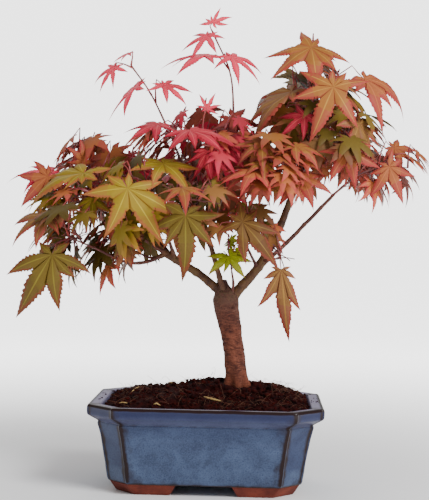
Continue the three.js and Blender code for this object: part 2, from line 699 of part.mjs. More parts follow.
// A leaf with its stalk from a place on a twig. It is added only where both are clear.
function addLeaf(mass, joint, leaf) {
  const stalk = stalkLine(leaf, joint);
  const stub = [stalk[0], stalk[0].clone().lerp(stalk[1], 0.15)];
  const blade = shapeOf(leafGeometry(leaf, testThickness, stub));
  if (blocked(blade, () => false)) return false;
  const line = shapeOf(tube(stalk.map((point) => point.toArray()), [testRadius, testRadius], twigSides, 2));
  if (blocked(line, (old) => old.mass === mass && old.wood)) return false;
  mass.parts.push(solidOf(leafGeometry(leaf, leafThickness, stalk)));
  standing.push({ mass, wood: false, shape: blade }, { mass, wood: true, shape: line });
  return true;
}

// A stem starts inside its limb's tip, goes on in the limb's direction and bends to the heart.
function growStem(mass, limb) {
  const [before, tip] = limb.points.slice(-2).map(vector);
  const ahead = tip.clone().sub(before).normalize();
  const heart = vector(mass.heart);
  const onwards = tip.clone().addScaledVector(ahead, stemLead * tip.distanceTo(heart));
  const bend = onwards.lerp(heart, stemBend);
  const places = [tip.clone().addScaledVector(ahead, -stemRoot), tip, bend, heart];
  const points = places.map((place) => place.toArray());
  const radius = [limb.radius[1] * 0.9, stemTip];
  const wider = radius.map((r) => r + twigMargin);
  mass.limb = limb;
  mass.stem = new THREE.CatmullRomCurve3(places, false, 'catmullrom', 0.5);
  mass.parts.push(solidOf(tube(points, radius, stemSides, 4)));
  standing.push({ mass, wood: true, shape: shapeOf(tube(points, wider, stemSides, 4)) });
}

// Where a leaf stands whose stalk leaves the joint outwards: it droops, points away from the trunk
// and turns its face to the light.
function chooseLeaf(mass, joint, out, key) {
  const draw = ([least, most], place) => mix(least, most, chance(key, place));
  const blade = mass.blade * draw(bladeShare, 21);
  const at = joint.clone().addScaledVector(out, blade * draw(stalkShare, 22));
  const outward = vector([at.x - crownAxis.x, at.y - crownAxis.y, 0]).normalize();
  const points = out.clone().addScaledVector(outward, leafOutwards);
  points.z -= draw(leafDroop, 23) + Math.max(out.z, 0);
  const height = THREE.MathUtils.clamp((at.z - crownBase) / crownHeight, 0, 1);
  const faces = vector([0, 0, mix(...risingFace, height)]).addScaledVector(outward, faceOutwards);
  faces.add(vector(viewerSide));
  faces.x += draw([-faceSwing, faceSwing], 24);
  faces.y += draw([-faceSwing, faceSwing], 25);
  return leafFrame(at, points, faces, blade, key, draw(leafSpread, 26));
}

// Leaves stand in opposite pairs at a joint of a twig, each pair turned across the one before.
// A leaf that finds no room is turned further round the twig, a few times.
function growPair(mass, joint, ahead, turn, key) {
  const side = ahead.clone().cross(vector([0, 0, 1])).normalize();
  const other = side.clone().cross(ahead);
  for (const sign of [-1, 1]) {
    mass.count += 1;
    const leafKey = key * 100 + mass.count;
    for (let attempt = 0; attempt < tries; attempt += 1) {
      const swing = radians(mix(-pairSwing, pairSwing, chance(leafKey, 20)) + attempt * sign * triesTurn);
      const across = side.clone().multiplyScalar(Math.cos(turn + swing));
      across.addScaledVector(other, Math.sin(turn + swing));
      const out = ahead.clone().multiplyScalar(stalkAhead).addScaledVector(across, sign);
      out.z += stalkLift;
      const leaf = chooseLeaf(mass, joint, out.normalize(), leafKey);
      const middle = leaf.at.clone().addScaledVector(leaf.along, leaf.blade / 2);
      if (owns(mass, leaf.at) && owns(mass, middle) && addLeaf(mass, joint, leaf)) break;
    }
  }
}

// Shoots leave the stem evenly all round and end on the mass's reach, each with two pairs of leaves.
function growShoots(mass) {
  for (let shoot = 0; shoot < mass.shoots; shoot += 1) {
    const key = mass.seed + shoot * 0.37;
    const height = 1 - 2 * (shoot + 0.5) / mass.shoots;
    const turn = goldenAngle * shoot + 2 * Math.PI * chance(mass.seed, 40);
    const level = Math.sqrt(1 - height * height);
    const aim = vector([Math.cos(turn) * level, Math.sin(turn) * level, height]).multiply(vector(mass.reach));
    const start = mass.stem.getPoint(0.5 + 0.5 * (shoot + 1) / mass.shoots);
    const end = vector(mass.heart).addScaledVector(aim, mix(...shootReach, chance(key, 41)));
    const middle = start.clone().lerp(end, 0.5);
    middle.z += shootRise * start.distanceTo(end);
    if (!owns(mass, end) || !addShoot(mass, [start, middle, end].map((place) => place.toArray()))) continue;
    const ahead = end.clone().sub(middle).normalize();
    growPair(mass, middle.clone().lerp(end, outerJoint), ahead, 0, key);
    growPair(mass, middle.clone().lerp(start, innerJoint), ahead, Math.PI / 2, key + 0.11);
  }
}

// A leading leaf joins its stem at the nearest of a few places, or where it says.
function growLeads(mass) {
  mass.leads.forEach(({ at, points, faces, blade, spread = 1, from }, i) => {
    const key = mass.seed * 100 + 90 + i;
    const leaf = leafFrame(vector(at), vector(points), vector(faces), blade, key, spread);
    const joints = (from ? [from] : leadJoints).map((share) => mass.stem.getPoint(share));
    joints.sort((a, b) => a.distanceToSquared(leaf.at) - b.distanceToSquared(leaf.at));
    joints.some((joint) => addLeaf(mass, joint, leaf));
  });
}

// Assembly

const plant = new THREE.Group();

function add(name, geometry, material) {
  const mesh = new THREE.Mesh(geometry, material);
  mesh.name = name;
  plant.add(mesh);
}

add('pot', makePot(), glaze);
add('pot_foot_front_left', makeFoot(-1, -1), bareClay);
add('pot_foot_front_right', makeFoot(1, -1), bareClay);
add('pot_foot_back_left', makeFoot(-1, 1), bareClay);
add('pot_foot_back_right', makeFoot(1, 1), bareClay);
add('soil', makeSoil(), peat);

const wood = makeLimbs(solidOf(makeTrunk()));
for (const { name, solid, shape } of wood) {
  add(name, geometryOf(solid), name === 'trunk' ? bark : youngBark);
  standing.push({ mass: null, wood: true, shape });
}

for (const mass of masses) {
  mass.parts = [];
  mass.count = 0;
  growStem(mass, wood.find(({ name }) => name === mass.limb));
}
masses.forEach(growLeads);
masses.forEach(growShoots);

for (const mass of masses) {
  const fused = wasm.Manifold.union(mass.parts).subtract(mass.limb.cutter).simplify(smallestDetail);
  add(mass.name, geometryOf(largestPiece(fused)), leafTints[mass.tint]);
}

// The origin is level with the ground, in the middle of what the whole plant covers.
const middle = new THREE.Box3().setFromObject(plant).getCenter(new THREE.Vector3());
plant.position.set(-middle.x, -middle.y, 0);

export default plant;
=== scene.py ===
import math

import bpy
import numpy as np
from mathutils import Matrix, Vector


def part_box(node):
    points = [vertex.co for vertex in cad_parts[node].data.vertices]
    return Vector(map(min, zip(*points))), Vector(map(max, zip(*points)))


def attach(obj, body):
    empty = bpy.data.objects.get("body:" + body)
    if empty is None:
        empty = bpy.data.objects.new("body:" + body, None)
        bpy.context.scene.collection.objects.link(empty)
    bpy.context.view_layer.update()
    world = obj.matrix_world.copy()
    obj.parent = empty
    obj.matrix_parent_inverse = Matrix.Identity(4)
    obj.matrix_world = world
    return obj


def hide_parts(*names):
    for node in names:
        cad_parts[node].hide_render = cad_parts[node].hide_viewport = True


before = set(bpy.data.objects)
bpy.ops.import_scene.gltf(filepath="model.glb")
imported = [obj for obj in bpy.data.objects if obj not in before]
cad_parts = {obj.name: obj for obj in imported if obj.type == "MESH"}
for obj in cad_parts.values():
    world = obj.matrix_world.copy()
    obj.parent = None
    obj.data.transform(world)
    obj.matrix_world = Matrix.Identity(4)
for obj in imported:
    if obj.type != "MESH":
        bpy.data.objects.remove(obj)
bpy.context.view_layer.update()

# Everything is worked out in millimetres about the middle of the pot, with +Z up and the viewer at -Y.
mm = 0.001
potLow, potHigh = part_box("pot")
potMiddle = np.array([(potLow.x + potHigh.x) / 2, (potLow.y + potHigh.y) / 2, 0.0])
rng = np.random.default_rng(7)


# Numbers

def mix(a, b, share):
    return a + (b - a) * share


def smooth(share):
    share = np.clip(share, 0, 1)
    return share * share * (3 - 2 * share)


def bell(far):
    return np.exp(-far ** 2)


def unit(vectors):
    return vectors / np.maximum(np.linalg.norm(vectors, axis=-1, keepdims=True), 1e-9)


def chance(key, place):  # a repeatable number from 0 to 1: the fraction of a steep sine of key and place
    wave = np.sin(key * 12.9898 + place * 78.233) * 43758.5453
    return wave - np.floor(wave)


def lumps(u, v, key, around=0):
    # numbers drawn at whole u and v and blended smoothly between them, from -1 to 1; u may close on itself
    baseU, baseV = np.floor(u), np.floor(v)
    shareU, shareV = smooth(u - baseU), smooth(v - baseV)

    def drawn(a, b):
        a = np.mod(a, around) if around else a
        return chance(a + 57.3 * b, key)

    near = mix(drawn(baseU, baseV), drawn(baseU + 1, baseV), shareU)
    far = mix(drawn(baseU, baseV + 1), drawn(baseU + 1, baseV + 1), shareU)
    return 2 * mix(near, far, shareV) - 1


def curve(points, shares):
    # a smooth line through points: a cubic between each two, whose slope at a point is half the way
    # from the point before it to the point after it
    points = np.asarray(points, float)
    spot = np.clip(np.asarray(shares, float), 0, 1) * (len(points) - 1)
    piece = np.minimum(spot.astype(int), len(points) - 2)
    t = (spot - piece)[..., None]
    longer = np.vstack([2 * points[0] - points[1], points, 2 * points[-1] - points[-2]])
    before, start, end, after = (longer[piece + i] for i in range(4))
    leave, arrive = (end - before) / 2, (after - start) / 2
    bend = 3 * (end - start) - 2 * leave - arrive
    twist = 2 * (start - end) + leave + arrive
    return start + leave * t + bend * t ** 2 + twist * t ** 3


def ringTurns(count):  # angles evenly round a ring
    return 2 * np.pi * np.arange(count) / count


def atRadius(radius, turn, height):  # points round the middle, by radius, angle and height
    x = radius * np.cos(turn)
    return np.stack([x, radius * np.sin(turn), np.broadcast_to(height, x.shape)], -1)


# Surfaces

def gridFaces(rows, columns):  # quads between the rows and columns of a grid of points that closes on itself
    row, column = np.meshgrid(np.arange(rows - 1), np.arange(columns), indexing="ij")
    first, second = row * columns + column, row * columns + (column + 1) % columns
    return np.stack([first, second, second + columns, first + columns], -1).reshape(-1, 4)


def threes(*triangles):  # triangles as faces of four, of which the last is none
    return np.column_stack([np.vstack(triangles), np.full(sum(len(three) for three in triangles), -1)])


def skin(rings):
    # a closed surface through rings of as many points each, which turn left about the way they go,
    # with a point in the middle of each end
    rows, columns = rings.shape[:2]
    points = np.vstack([rings.reshape(-1, 3), rings[0].mean(0), rings[-1].mean(0)])
    first, last = np.arange(columns)[::-1], np.arange(columns) + (rows - 1) * columns
    ends = [np.column_stack([np.full(columns, rows * columns + i), ring, np.roll(ring, -1)])
            for i, ring in enumerate((first, last))]
    return points, np.vstack([gridFaces(rows, columns), threes(*ends)])


def tubes(middle, radius, sides):
    # round bars along lines of points: each ring is the line's point plus the radius times
    # (side x sine + other x cosine) of the angle round the line
    middle, radius = np.asarray(middle, float), np.asarray(radius, float)
    rows = middle.shape[1]
    step = np.arange(rows)
    ahead = unit(middle[:, np.minimum(step + 1, rows - 1)] - middle[:, np.maximum(step - 1, 0)])
    guide = np.eye(3)[np.argmin(np.abs(middle[:, -1] - middle[:, 0]), axis=1)]
    side = unit(np.cross(ahead, guide[:, None]))
    other = np.cross(side, ahead)
    turn = ringTurns(sides)
    wave = side[:, :, None] * np.sin(turn)[:, None] + other[:, :, None] * np.cos(turn)[:, None]
    rings = middle[:, :, None] + radius[..., None, None] * wave
    return joined([skin(ring) for ring in rings])


def joined(parts):  # several surfaces as one: their points together, and their faces counted on
    starts = np.cumsum([0] + [len(points) for points, _ in parts])
    faces = [np.where(faces < 0, -1, faces + start) for (_, faces), start in zip(parts, starts)]
    return np.vstack([points for points, _ in parts]), np.vstack(faces)


bends = {"most": 0.45, "falls": 0.6}    # the most of a run that a bend takes, and how far nearness falls


def eased(points, reach, samples, between, closed=True):
    # corners of a line made round: each gives way to a curve that begins and ends within reach of it,
    # and every straight run gets points between; also how near each point is to its corner, 0 to 1
    towards = [np.roll(points, turn, axis=-2) - points for turn in (1, -1)]
    if not closed:
        towards[0][..., 0, :] = 0
        towards[1][..., -1, :] = 0
    lengths = [np.maximum(np.linalg.norm(way[..., :2], axis=-1, keepdims=True), 1e-6) for way in towards]
    enter, leave = (points + way * np.minimum(reach / length, bends["most"])
                    for way, length in zip(towards, lengths))
    t = np.linspace(0, 1, samples)[:, None]
    bend = (1 - t) ** 2 * enter[..., None, :] + 2 * t * (1 - t) * points[..., None, :]
    bend = bend + t ** 2 * leave[..., None, :]
    t = (np.arange(between) + 1)[:, None] / (between + 1)
    runs = mix(leave[..., None, :], np.roll(enter, -1, axis=-2)[..., None, :], t)
    line = np.concatenate([bend, runs], axis=-2)
    line = line.reshape(*points.shape[:-2], -1, points.shape[-1])
    near = np.concatenate([1 - bends["falls"] * np.abs(np.linspace(-1, 1, samples)), np.zeros(between)])
    near = np.tile(near, points.shape[-2])
    kept = slice(None if closed else -between)
    return line[..., kept, :], near[kept]


def newObject(name, data):
    thing = bpy.data.objects.new(name, data)
    bpy.context.scene.collection.objects.link(thing)
    return thing


def makePiece(name, surface, materials, nodes, kinds=None, sharp=None, attributes=None):
    # a mesh object of the surface's points and faces; kinds says which material each face takes
    points, faces = surface
    used = faces >= 0
    totals = used.sum(1)
    mesh = bpy.data.meshes.new(name)
    mesh.vertices.add(len(points))
    mesh.vertices.foreach_set("co", (points * mm + potMiddle).astype(np.float32).ravel())
    mesh.loops.add(int(totals.sum()))
    mesh.loops.foreach_set("vertex_index", faces[used].astype(np.int32))
    mesh.polygons.add(len(faces))
    mesh.polygons.foreach_set("loop_start", (np.cumsum(totals) - totals).astype(np.int32))
    for material in materials:
        mesh.materials.append(material)
    if kinds is not None:
        mesh.polygons.foreach_set("material_index", np.asarray(kinds, np.int32))
    mesh.polygons.foreach_set("use_smooth", np.ones(len(faces), bool))
    for label, values in (attributes or {}).items():
        mesh.attributes.new(label, "FLOAT", "POINT").data.foreach_set("value", values.astype(np.float32))
    mesh.update(calc_edges=True)
    mesh.validate()
    if sharp:
        mesh.set_sharp_from_angle(angle=math.radians(sharp))
    piece = newObject(name, mesh)
    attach(piece, "root")
    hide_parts(*nodes)
    print(f"{name}: {len(faces)} faces")
    return piece


# Materials

def light(colour):  # a colour as seen on a screen, from 0 to 255, as the light it gives
    share = np.asarray(colour, float) / 255
    return (*np.where(share <= 0.04045, share / 12.92, ((share + 0.055) / 1.055) ** 2.4), 1.0)


def newMaterial(name, colour, **finish):
    # a plain finish, a function that adds a node to it whose sockets are set or linked, and the place
    material = bpy.data.materials.new(name)
    material.use_nodes = True
    material.diffuse_color = light(colour)
    tree = material.node_tree
    shader = tree.nodes["Principled BSDF"]
    shader.inputs["Base Color"].default_value = light(colour)
    for socket, value in finish.items():
        shader.inputs[socket.replace("_", " ")].default_value = value

    def add(kind, sockets, **options):
        node = shader if kind == "shader" else tree.nodes.new("ShaderNode" + kind)
        for option, value in options.items():
            setattr(node, option, value)
        for socket, value in sockets.items():
            if isinstance(value, bpy.types.NodeSocket):
                tree.links.new(value, node.inputs[socket])
            else:
                node.inputs[socket].default_value = value
        return node

    return material, add, add("TexCoord", {}).outputs["Object"]


def grain(add, where, scale, detail=4, **sockets):
    return add("TexNoise", {"Vector": where, "Scale": scale, "Detail": detail, **sockets}).outputs[0]


def spread(add, label):  # an attribute of the mesh
    return add("Attribute", {}, attribute_name=label).outputs["Fac"]


def share(add, value, low, high):  # how far a value has come from low to high, 0 to 1
    return add("MapRange", {"Value": value, "From Min": low, "From Max": high}).outputs[0]


def blend(add, factor, first, second):
    colours = [c if isinstance(c, bpy.types.NodeSocket) else light(c) for c in (first, second)]
    return add("Mix", {0: factor, 6: colours[0], 7: colours[1]}, data_type="RGBA").outputs[2]


def times(add, first, second):
    return add("Math", {0: first, 1: second}, operation="MULTIPLY").outputs[0]


def layered(add, ground, *layers):
    # a ground with colours laid over it: each layer is a colour, the most of it that shows, and where it
    # shows, as patterns, each alone or with the values where it begins and where it is whole
    colour = ground
    for tone, most, *patterns in layers:
        factor, *others = [share(add, *p) if isinstance(p, tuple) else p for p in patterns]
        for other in others + [most] * (most != 1):
            factor = times(add, factor, other)
        colour = blend(add, factor, colour, tone)
    add("shader", {"Base Color": colour})


def relief(add, height, distance, strength):
    bump = add("Bump", {"Height": height, "Distance": distance, "Strength": strength})
    add("shader", {"Normal": bump.outputs[0]})


# Camera, floor and light

view = {
    "focal": 1230, "height": 500, "film": 36,       # the photo's focal length and height in pixels
    "place": (41, -1073, 224), "pan": 0.035, "tilt": 0.018, "roll": 0.019,
    "world": 0.4, "backdrop": 3.2, "floor": (244, 244, 245), "floorSize": 40, "floorFade": (0.06, 1.2),
    # place, size in metres and watts of each lamp, and what they face
    "lamps": {"key": ((1000, -1000, 1250), 0.7, 37), "fill": ((-900, -900, 600), 1.0, 1),
              "back": ((-300, 900, 900), 1.0, 5)},
    "lit": (0, 0, 200),
}


def setUp(name, data, axes, at):  # an object by the directions of its axes and its place
    turned = np.eye(4)
    turned[:3, :3] = np.stack(axes, axis=1)
    turned[:3, 3] = at
    thing = newObject(name, data)
    thing.matrix_world = Matrix(turned)
    return thing


def makeView():
    # the camera looks along +Y, turned by pan, tilt and roll, in that order
    (sinPan, cosPan), (sinTilt, cosTilt), (sinRoll, cosRoll) = (
        (math.sin(view[turn]), math.cos(view[turn])) for turn in ("pan", "tilt", "roll"))
    ahead = np.array([-sinPan * cosTilt, cosPan * cosTilt, -sinTilt])
    level = np.array([cosPan, sinPan, 0.0])
    upright = np.cross(level, ahead)
    axes = level * cosRoll + upright * sinRoll, upright * cosRoll - level * sinRoll, -ahead
    camera = bpy.data.cameras.new("camera")
    camera.sensor_width = view["film"]
    camera.lens = view["focal"] * view["film"] / view["height"]
    bpy.context.scene.camera = setUp("camera", camera, axes, np.array(view["place"]) * mm + potMiddle)

    world = bpy.data.worlds.new("studio")
    world.use_nodes = True
    nodes, links = world.node_tree.nodes, world.node_tree.links
    both = nodes.new("ShaderNodeMixShader")             # soft light all round, in front of a white backdrop
    links.new(nodes.new("ShaderNodeLightPath").outputs["Is Camera Ray"], both.inputs[0])
    for slot, node, strength in ((1, nodes["Background"], view["world"]),
                                 (2, nodes.new("ShaderNodeBackground"), view["backdrop"])):
        node.inputs["Color"].default_value = (1, 1, 1, 1)
        node.inputs["Strength"].default_value = strength
        links.new(node.outputs[0], both.inputs[slot])
    links.new(both.outputs[0], nodes["World Output"].inputs["Surface"])
    bpy.context.scene.world = world

    for name, (at, size, watts) in view["lamps"].items():
        lamp = bpy.data.lights.new(name, "AREA")
        lamp.size = size
        lamp.energy = watts
        back = unit((np.array(at) - view["lit"]) * mm)
        side = unit(np.cross([0, 0, 1], back))
        setUp(name, lamp, (side, np.cross(back, side), back), np.array(at) * mm + potMiddle)

    mesh = bpy.data.meshes.new("floor")
    corners = np.array([(-1, -1, 0), (1, -1, 0), (1, 1, 0), (-1, 1, 0)]) * view["floorSize"] / 2
    mesh.from_pydata(corners.tolist(), [], [(0, 1, 2, 3)])
    material, add, where = newMaterial("paper", view["floor"], Roughness=0.9)
    far = add("VectorMath", {0: where}, operation="LENGTH").outputs["Value"]
    near, away = view["floorFade"]
    fade = add("MapRange", {"Value": far, "From Min": near, "From Max": away,
                            "To Max": view["backdrop"] - view["world"]}, interpolation_type="SMOOTHSTEP")
    add("shader", {"Emission Color": (1, 1, 1, 1), "Emission Strength": fade.outputs[0]})
    mesh.materials.append(material)
    floor = newObject("floor", mesh)
    print("camera, lamps and floor")


# Pot: a rectangle with its corners cut off, carried up a profile from the middle of its underside,
# over the rim and down the inside

pot = {
    "width": 200, "depth": 146, "corner": 23, "depthShare": 0.8, "cornerShare": 0.3,
    "cornerReach": 4.4, "cornerSteps": (5, 5), "edgeReach": 1.3, "edgeSteps": (5, 3),
    # height, how far in from the rim, step at a corner, brown edge (at 60 high, painted shade in the groove),
    # deep blue, pale (from 60 to 65.9 high, a painted highlight in the cove)
    "profile": [
        (9.2, 62, 0.4, 0, 0, 0), (9.2, 30, 0.8, 0, 0, 0), (9.2, 19.0, 1.0, 0.9, 0, 0),
        (11, 17.6, 1.5, 0.35, 0, 0), (30, 14.4, 1.7, 0, 0.05, 0), (48, 11.3, 1.7, 0, 0.15, 0),
        (58.6, 8.6, 1.6, 0.05, 0.4, 0),
        (60, 9.6, 0.9, 0.5, 0.25, 0.1), (61.2, 8.4, 0.8, 0.15, 0.2, 0.2), (63.4, 4.6, 1.0, 0, 0.3, 0.2),
        (65.9, 0.6, 2.0, 0.1, 0.6, 0.1), (68.5, 0.1, 2.2, 0, 0.9, 0), (71.8, 0, 2.2, 0.2, 1, 0),
        (72.9, 0.1, 2.2, 0.9, 0.5, 0), (74.4, 1.0, 2.0, 1, 0.1, 0), (74.7, 2.6, 1.8, 0.9, 0, 0),
        (74.7, 3.8, 1.5, 0.1, 0, 0.9), (74.3, 10.3, 0.8, 0.3, 0, 0.9),
        (71.5, 12.2, 0.5, 0.45, 0.4, 0.2), (58, 16.4, 0.4, 0, 0.6, 0), (20, 23.6, 0.4, 0, 0.6, 0),
        (17.2, 26, 0.4, 0, 0.6, 0), (17.2, 60, 0.4, 0, 0.6, 0),
    ],
    "cornerBrownAndCreaseShade": (1, 0.8, 0.8, 1),   # at the four points of a cut corner, from the end to the front: brown where the glaze breaks at the outer two, painted shade in the creases at the inner two
    "cutDeep": (0, 0.5, 0.5, 0),       # how much deeper the blue is there
    "edgeLevels": (9, 62), "edgeRun": 3, "bandLess": 0.1,       # where the upright corners are brown, with painted shade in their creases, and less so
    "waver": 0.35, "waverSize": (12, 16), "waverFrom": 10, "outside": 16,    # how uneven its outer walls are
    "drains": (-42, 42), "drainRadius": 6, "drainHeights": (4, 24), "drainSides": 48,
}
feet = {
    "height": 9.2, "inset": 19.8, "reach": 52, "back": 38, "width": 15, "inner": 2, "splay": 5, "lean": 5,
    "ease": (1.2, 4, 3), "rough": 0.12, "roughSize": (5, 3), "levels": (3, 5, 7, 8.4, 9.2),
    "worn": ((0, 0.9), (0.25, 0.3), (0.9, -0.3)),           # height, and how far in past the lean
}


def planAt(inset, lean=0):  # half the width and depth and the corner's cut, this far in from the pot's rim
    return (pot["width"] / 2 - inset - lean, pot["depth"] / 2 - inset * pot["depthShare"] - lean,
            pot["corner"] - inset * pot["cornerShare"])


def potRings(insets, steps):
    # four points at each cut corner for each row, mirrored to the other three corners
    halfWidth, halfDepth, corner = planAt(insets)
    across = np.stack([halfWidth, halfWidth - steps, halfWidth - corner, halfWidth - corner], -1)
    along = np.stack([halfDepth - corner, halfDepth - corner, halfDepth - steps, halfDepth], -1)
    quarter = np.stack([across, along], -1)
    back = quarter[:, ::-1]
    return np.concatenate([quarter, back * (-1, 1), -quarter, back * (1, -1)], axis=1)


def makePot():
    profile = np.array(pot["profile"], float)
    rows, _ = eased(profile[:, [1, 0, 2, 3, 4, 5]], pot["edgeReach"], *pot["edgeSteps"], closed=False)
    insets, heights, steps, brown, deep, pale = rows.T[..., None]
    plan, nearCorner = eased(potRings(insets[:, 0], steps[:, 0]), pot["cornerReach"], *pot["cornerSteps"])
    count = plan.shape[1]
    outer = insets < pot["outside"]
    wide, high = pot["waverSize"]
    waver = pot["waver"] * lumps(np.arange(count) / wide, heights / high, 3.1, around=count / wide)
    waver = waver * smooth((heights - pot["waverFrom"]) / wide) * outer
    plan = plan - unit(plan) * ((waver + pot["waver"]) * outer)[..., None]
    rings = np.concatenate([plan, np.broadcast_to(heights[..., None], (*plan.shape[:2], 1))], -1)
    atCorner, onCut = (np.repeat(np.tile([*row, *row[::-1]], 2), count // 16)
                       for row in (pot["cornerBrownAndCreaseShade"], pot["cutDeep"]))
    walls, band = (smooth((heights - level) / pot["edgeRun"]) for level in pot["edgeLevels"])
    upright = walls * (1 - pot["bandLess"] * band)
    # brown where the glaze breaks on edges, with painted shade in the groove and in the creases of the cut
    # corners
    fields = {"brownEdgeAndCreaseShade": np.maximum(brown, upright * (nearCorner * atCorner)),
              # the pale is the glaze's pale rim on top, and a painted highlight in the cove
              "deepBand": np.maximum(deep, onCut * outer), "paleRimAndCoveHighlight": pale * np.ones(count)}
    attributes = {label: np.append(values.ravel(), [0, 0]) for label, values in fields.items()}
    piece = makePiece("pot_body", skin(rings), [glazeMaterial()], ["pot"], attributes=attributes)
    for at in pot["drains"]:
        cutDrain(piece, at)


def cutDrain(piece, at):  # a drain hole through the pot's floor, between its feet
    turn = ringTurns(pot["drainSides"])
    ring = atRadius(pot["drainRadius"], turn, 0) + (at, 0, 0)
    points, faces = skin(np.stack([ring + (0, 0, height) for height in pot["drainHeights"]]))
    corners = [[i for i in face if i >= 0] for face in faces.tolist()]
    mesh = bpy.data.meshes.new("drain")
    mesh.from_pydata((points * mm + potMiddle).tolist(), [], corners)
    cutter = newObject("drain", mesh)
    modifier = piece.modifiers.new("drain", "BOOLEAN")
    modifier.operation = "DIFFERENCE"
    modifier.object = cutter
    modifier.solver = "EXACT"
    shown = piece.evaluated_get(bpy.context.evaluated_depsgraph_get())
    piece.data = bpy.data.meshes.new_from_object(shown)
    piece.modifiers.clear()
    bpy.data.objects.remove(cutter)


def glazeMaterial():
    # blue glaze, mottled and speckled, deeper under the rim, pale on top, with a painted highlight in the
    # cove under the band, and broken to brown on edges, with brown also as painted shade in the groove and
    # the creases of the cut corners
    material, add, where = newMaterial("blueGlaze", (61, 74, 104), Roughness=0.32, Specular_IOR_Level=0.22,
                                       Coat_Weight=0.1, Coat_Roughness=0.08)
    clouds = grain(add, where, 55, 6, Distortion=0.6)
    speckle = grain(add, where, 900, 3)
    patchiness = grain(add, where, 130)
    edge, deep, pale = (spread(add, label) for label in ("brownEdgeAndCreaseShade", "deepBand", "paleRimAndCoveHighlight"))
    brown = add("Math", {0: edge, 1: times(add, patchiness, 0.75)}, operation="SUBTRACT").outputs[0]
    layered(add, (55, 66, 91),
            ((76, 91, 120), 1, (clouds, 0.34, 0.68)),
            ((84, 102, 138), 0.35, (speckle, 0.5, 0.72)),
            ((32, 42, 74), 0.55, (speckle, 0.46, 0.3)),
            ((8, 14, 60), 0.95, deep),
            # pale rim on top, and a painted highlight in the cove under the band
            ((134, 122, 150), 0.8, pale),
            # brown where the glaze breaks, and painted shade in the groove and the corner creases
            ((30, 12, 12), 1, (brown, -0.05, 0.32), (edge, 0.05, 0.3)))
    relief(add, clouds, 0.0006, 0.35)
    return material


def makeFeet():
    # each foot wraps a corner of the pot's underside and narrows towards the ground
    def ring(height, lean):
        halfWidth, halfDepth, corner = planAt(feet["inset"], lean)
        width, back = feet["width"] - lean, halfDepth - feet["back"] + lean
        reach = halfWidth - (feet["reach"] + feet["splay"] * (1 - lean / feet["lean"]) - lean)
        plan = np.array([
            (halfWidth, back), (halfWidth, halfDepth - corner), (halfWidth - corner, halfDepth),
            (reach, halfDepth), (reach, halfDepth - width),
            (halfWidth - corner - feet["inner"], halfDepth - width),
            (halfWidth - width, halfDepth - corner - feet["inner"]), (halfWidth - width, back),
        ])
        plan, _ = eased(plan, *feet["ease"])
        return np.column_stack([plan, np.full(len(plan), height)])

    levels = [(height, feet["lean"] + more) for height, more in feet["worn"]]
    levels += [(height, feet["lean"] * (1 - height / feet["height"])) for height in feet["levels"]]
    rings = np.stack([ring(*level) for level in levels])
    wide, high = feet["roughSize"]
    clay = clayMaterial()
    for depth, signY in (("front", -1), ("back", 1)):
        for width, signX in (("left", -1), ("right", 1)):
            turned = rings * (signX, signY, 1)
            turned = turned if signX * signY > 0 else turned[:, ::-1]
            x, y, z = (turned[..., i:i + 1] for i in range(3))
            turned = turned + feet["rough"] * lumps(x / wide, y / wide + z / high, 2.2) * (1, 1, 0)
            name = f"foot_{depth}_{width}"
            makePiece(name, skin(turned), [clay], ["pot_" + name], sharp=50)


def clayMaterial():
    material, add, where = newMaterial("bareClay", (112, 52, 38), Roughness=0.85, Specular_IOR_Level=0.25)
    patches, grit = grain(add, where, 60, 5), grain(add, where, 1400, 3)
    layered(add, (90, 36, 28),
            ((134, 64, 48), 1, (patches, 0.35, 0.68)),
            ((70, 30, 26), 0.6, (grit, 0.58, 0.72)))
    add("shader", {"Roughness": share(add, patches, -1.4, 1.0)})
    relief(add, grit, 0.0004, 0.5)
    return material


# Soil: a mound from the pot's wall to a seat under the trunk, with crumbs, root hairs and straw on it

soil = {
    "edge": 71.2, "inset": 12.9, "seat": (25, 0, 86.6), "seatRadius": 16, "steep": 0.62,
    "columns": 200, "rows": 46, "under": 60, "underInset": 15.9,
    # x, y, height and reach
    "mounds": ((2, 14, 3.0, 14), (70, 0, -1.0, 30), (24, -11, 5.5, 11), (-40, 22, -2.2, 24)),
    "fall": 7, "fallFrom": 2, "fallReach": 26, "fallMiddle": 20, "fallWidth": 60,   # towards the front rim
    "lumps": ((9, 1.3), (4, 0.8), (1.8, 0.45)), "lumpsAtEdge": 0.35,                # size, height
}
crumbs = {
    "count": 4300, "size": (0.35, 1.9), "fewLarge": 2.2, "reach": 0.985, "lift": 0.75,
    "clods": 170, "clodSize": (1.7, 3.4), "clodsNear": 0.45,
    "push": (0.55, 1.25), "stretch": (0.6, 1.3), "flat": 0.8,
    # the few that lie on the ends of the rim
    "spilt": 34, "spiltSpread": 0.17, "spiltInset": (3, 10), "spiltSize": 0.9, "rim": 74.6,
}
hairs = {
    "count": 420, "reach": 0.95, "length": (4, 14), "radius": (0.156, 0.078), "tilt": (0.02, 1.0),
    "curl": 0.22, "points": 6, "sides": 3, "sunk": 0.4, "within": (86, 61),
}
straws = {
    # from, to and half the width of each
    "at": (((-2, -35), (13, -45), 0.95), ((-43, -55), (-37, -59), 0.7), ((-66, -8), (-62, 18), 0.6),
           ((-73, -49), (-65, -53), 0.5), ((18, -23), (21, -26), 0.45), ((73, 35), (78, 31), 0.4),
           ((8, 34), (18, 43), 0.6), ((-28, 30), (-38, 38), 0.6)),
    "points": 7, "sides": 6, "lift": 1.0, "rise": 0.6, "ends": (0.12, 0.9),
}


def wallRadius(turn, inset):  # from the pot's middle to the plain cut-cornered rectangle, in a direction
    halfWidth, halfDepth, corner = planAt(inset)
    across, along = np.abs(np.cos(turn)), np.abs(np.sin(turn))
    ends, sides = halfWidth / np.maximum(across, 1e-6), halfDepth / np.maximum(along, 1e-6)
    return np.minimum(np.minimum(ends, sides), (halfWidth + halfDepth - corner) / (across + along))


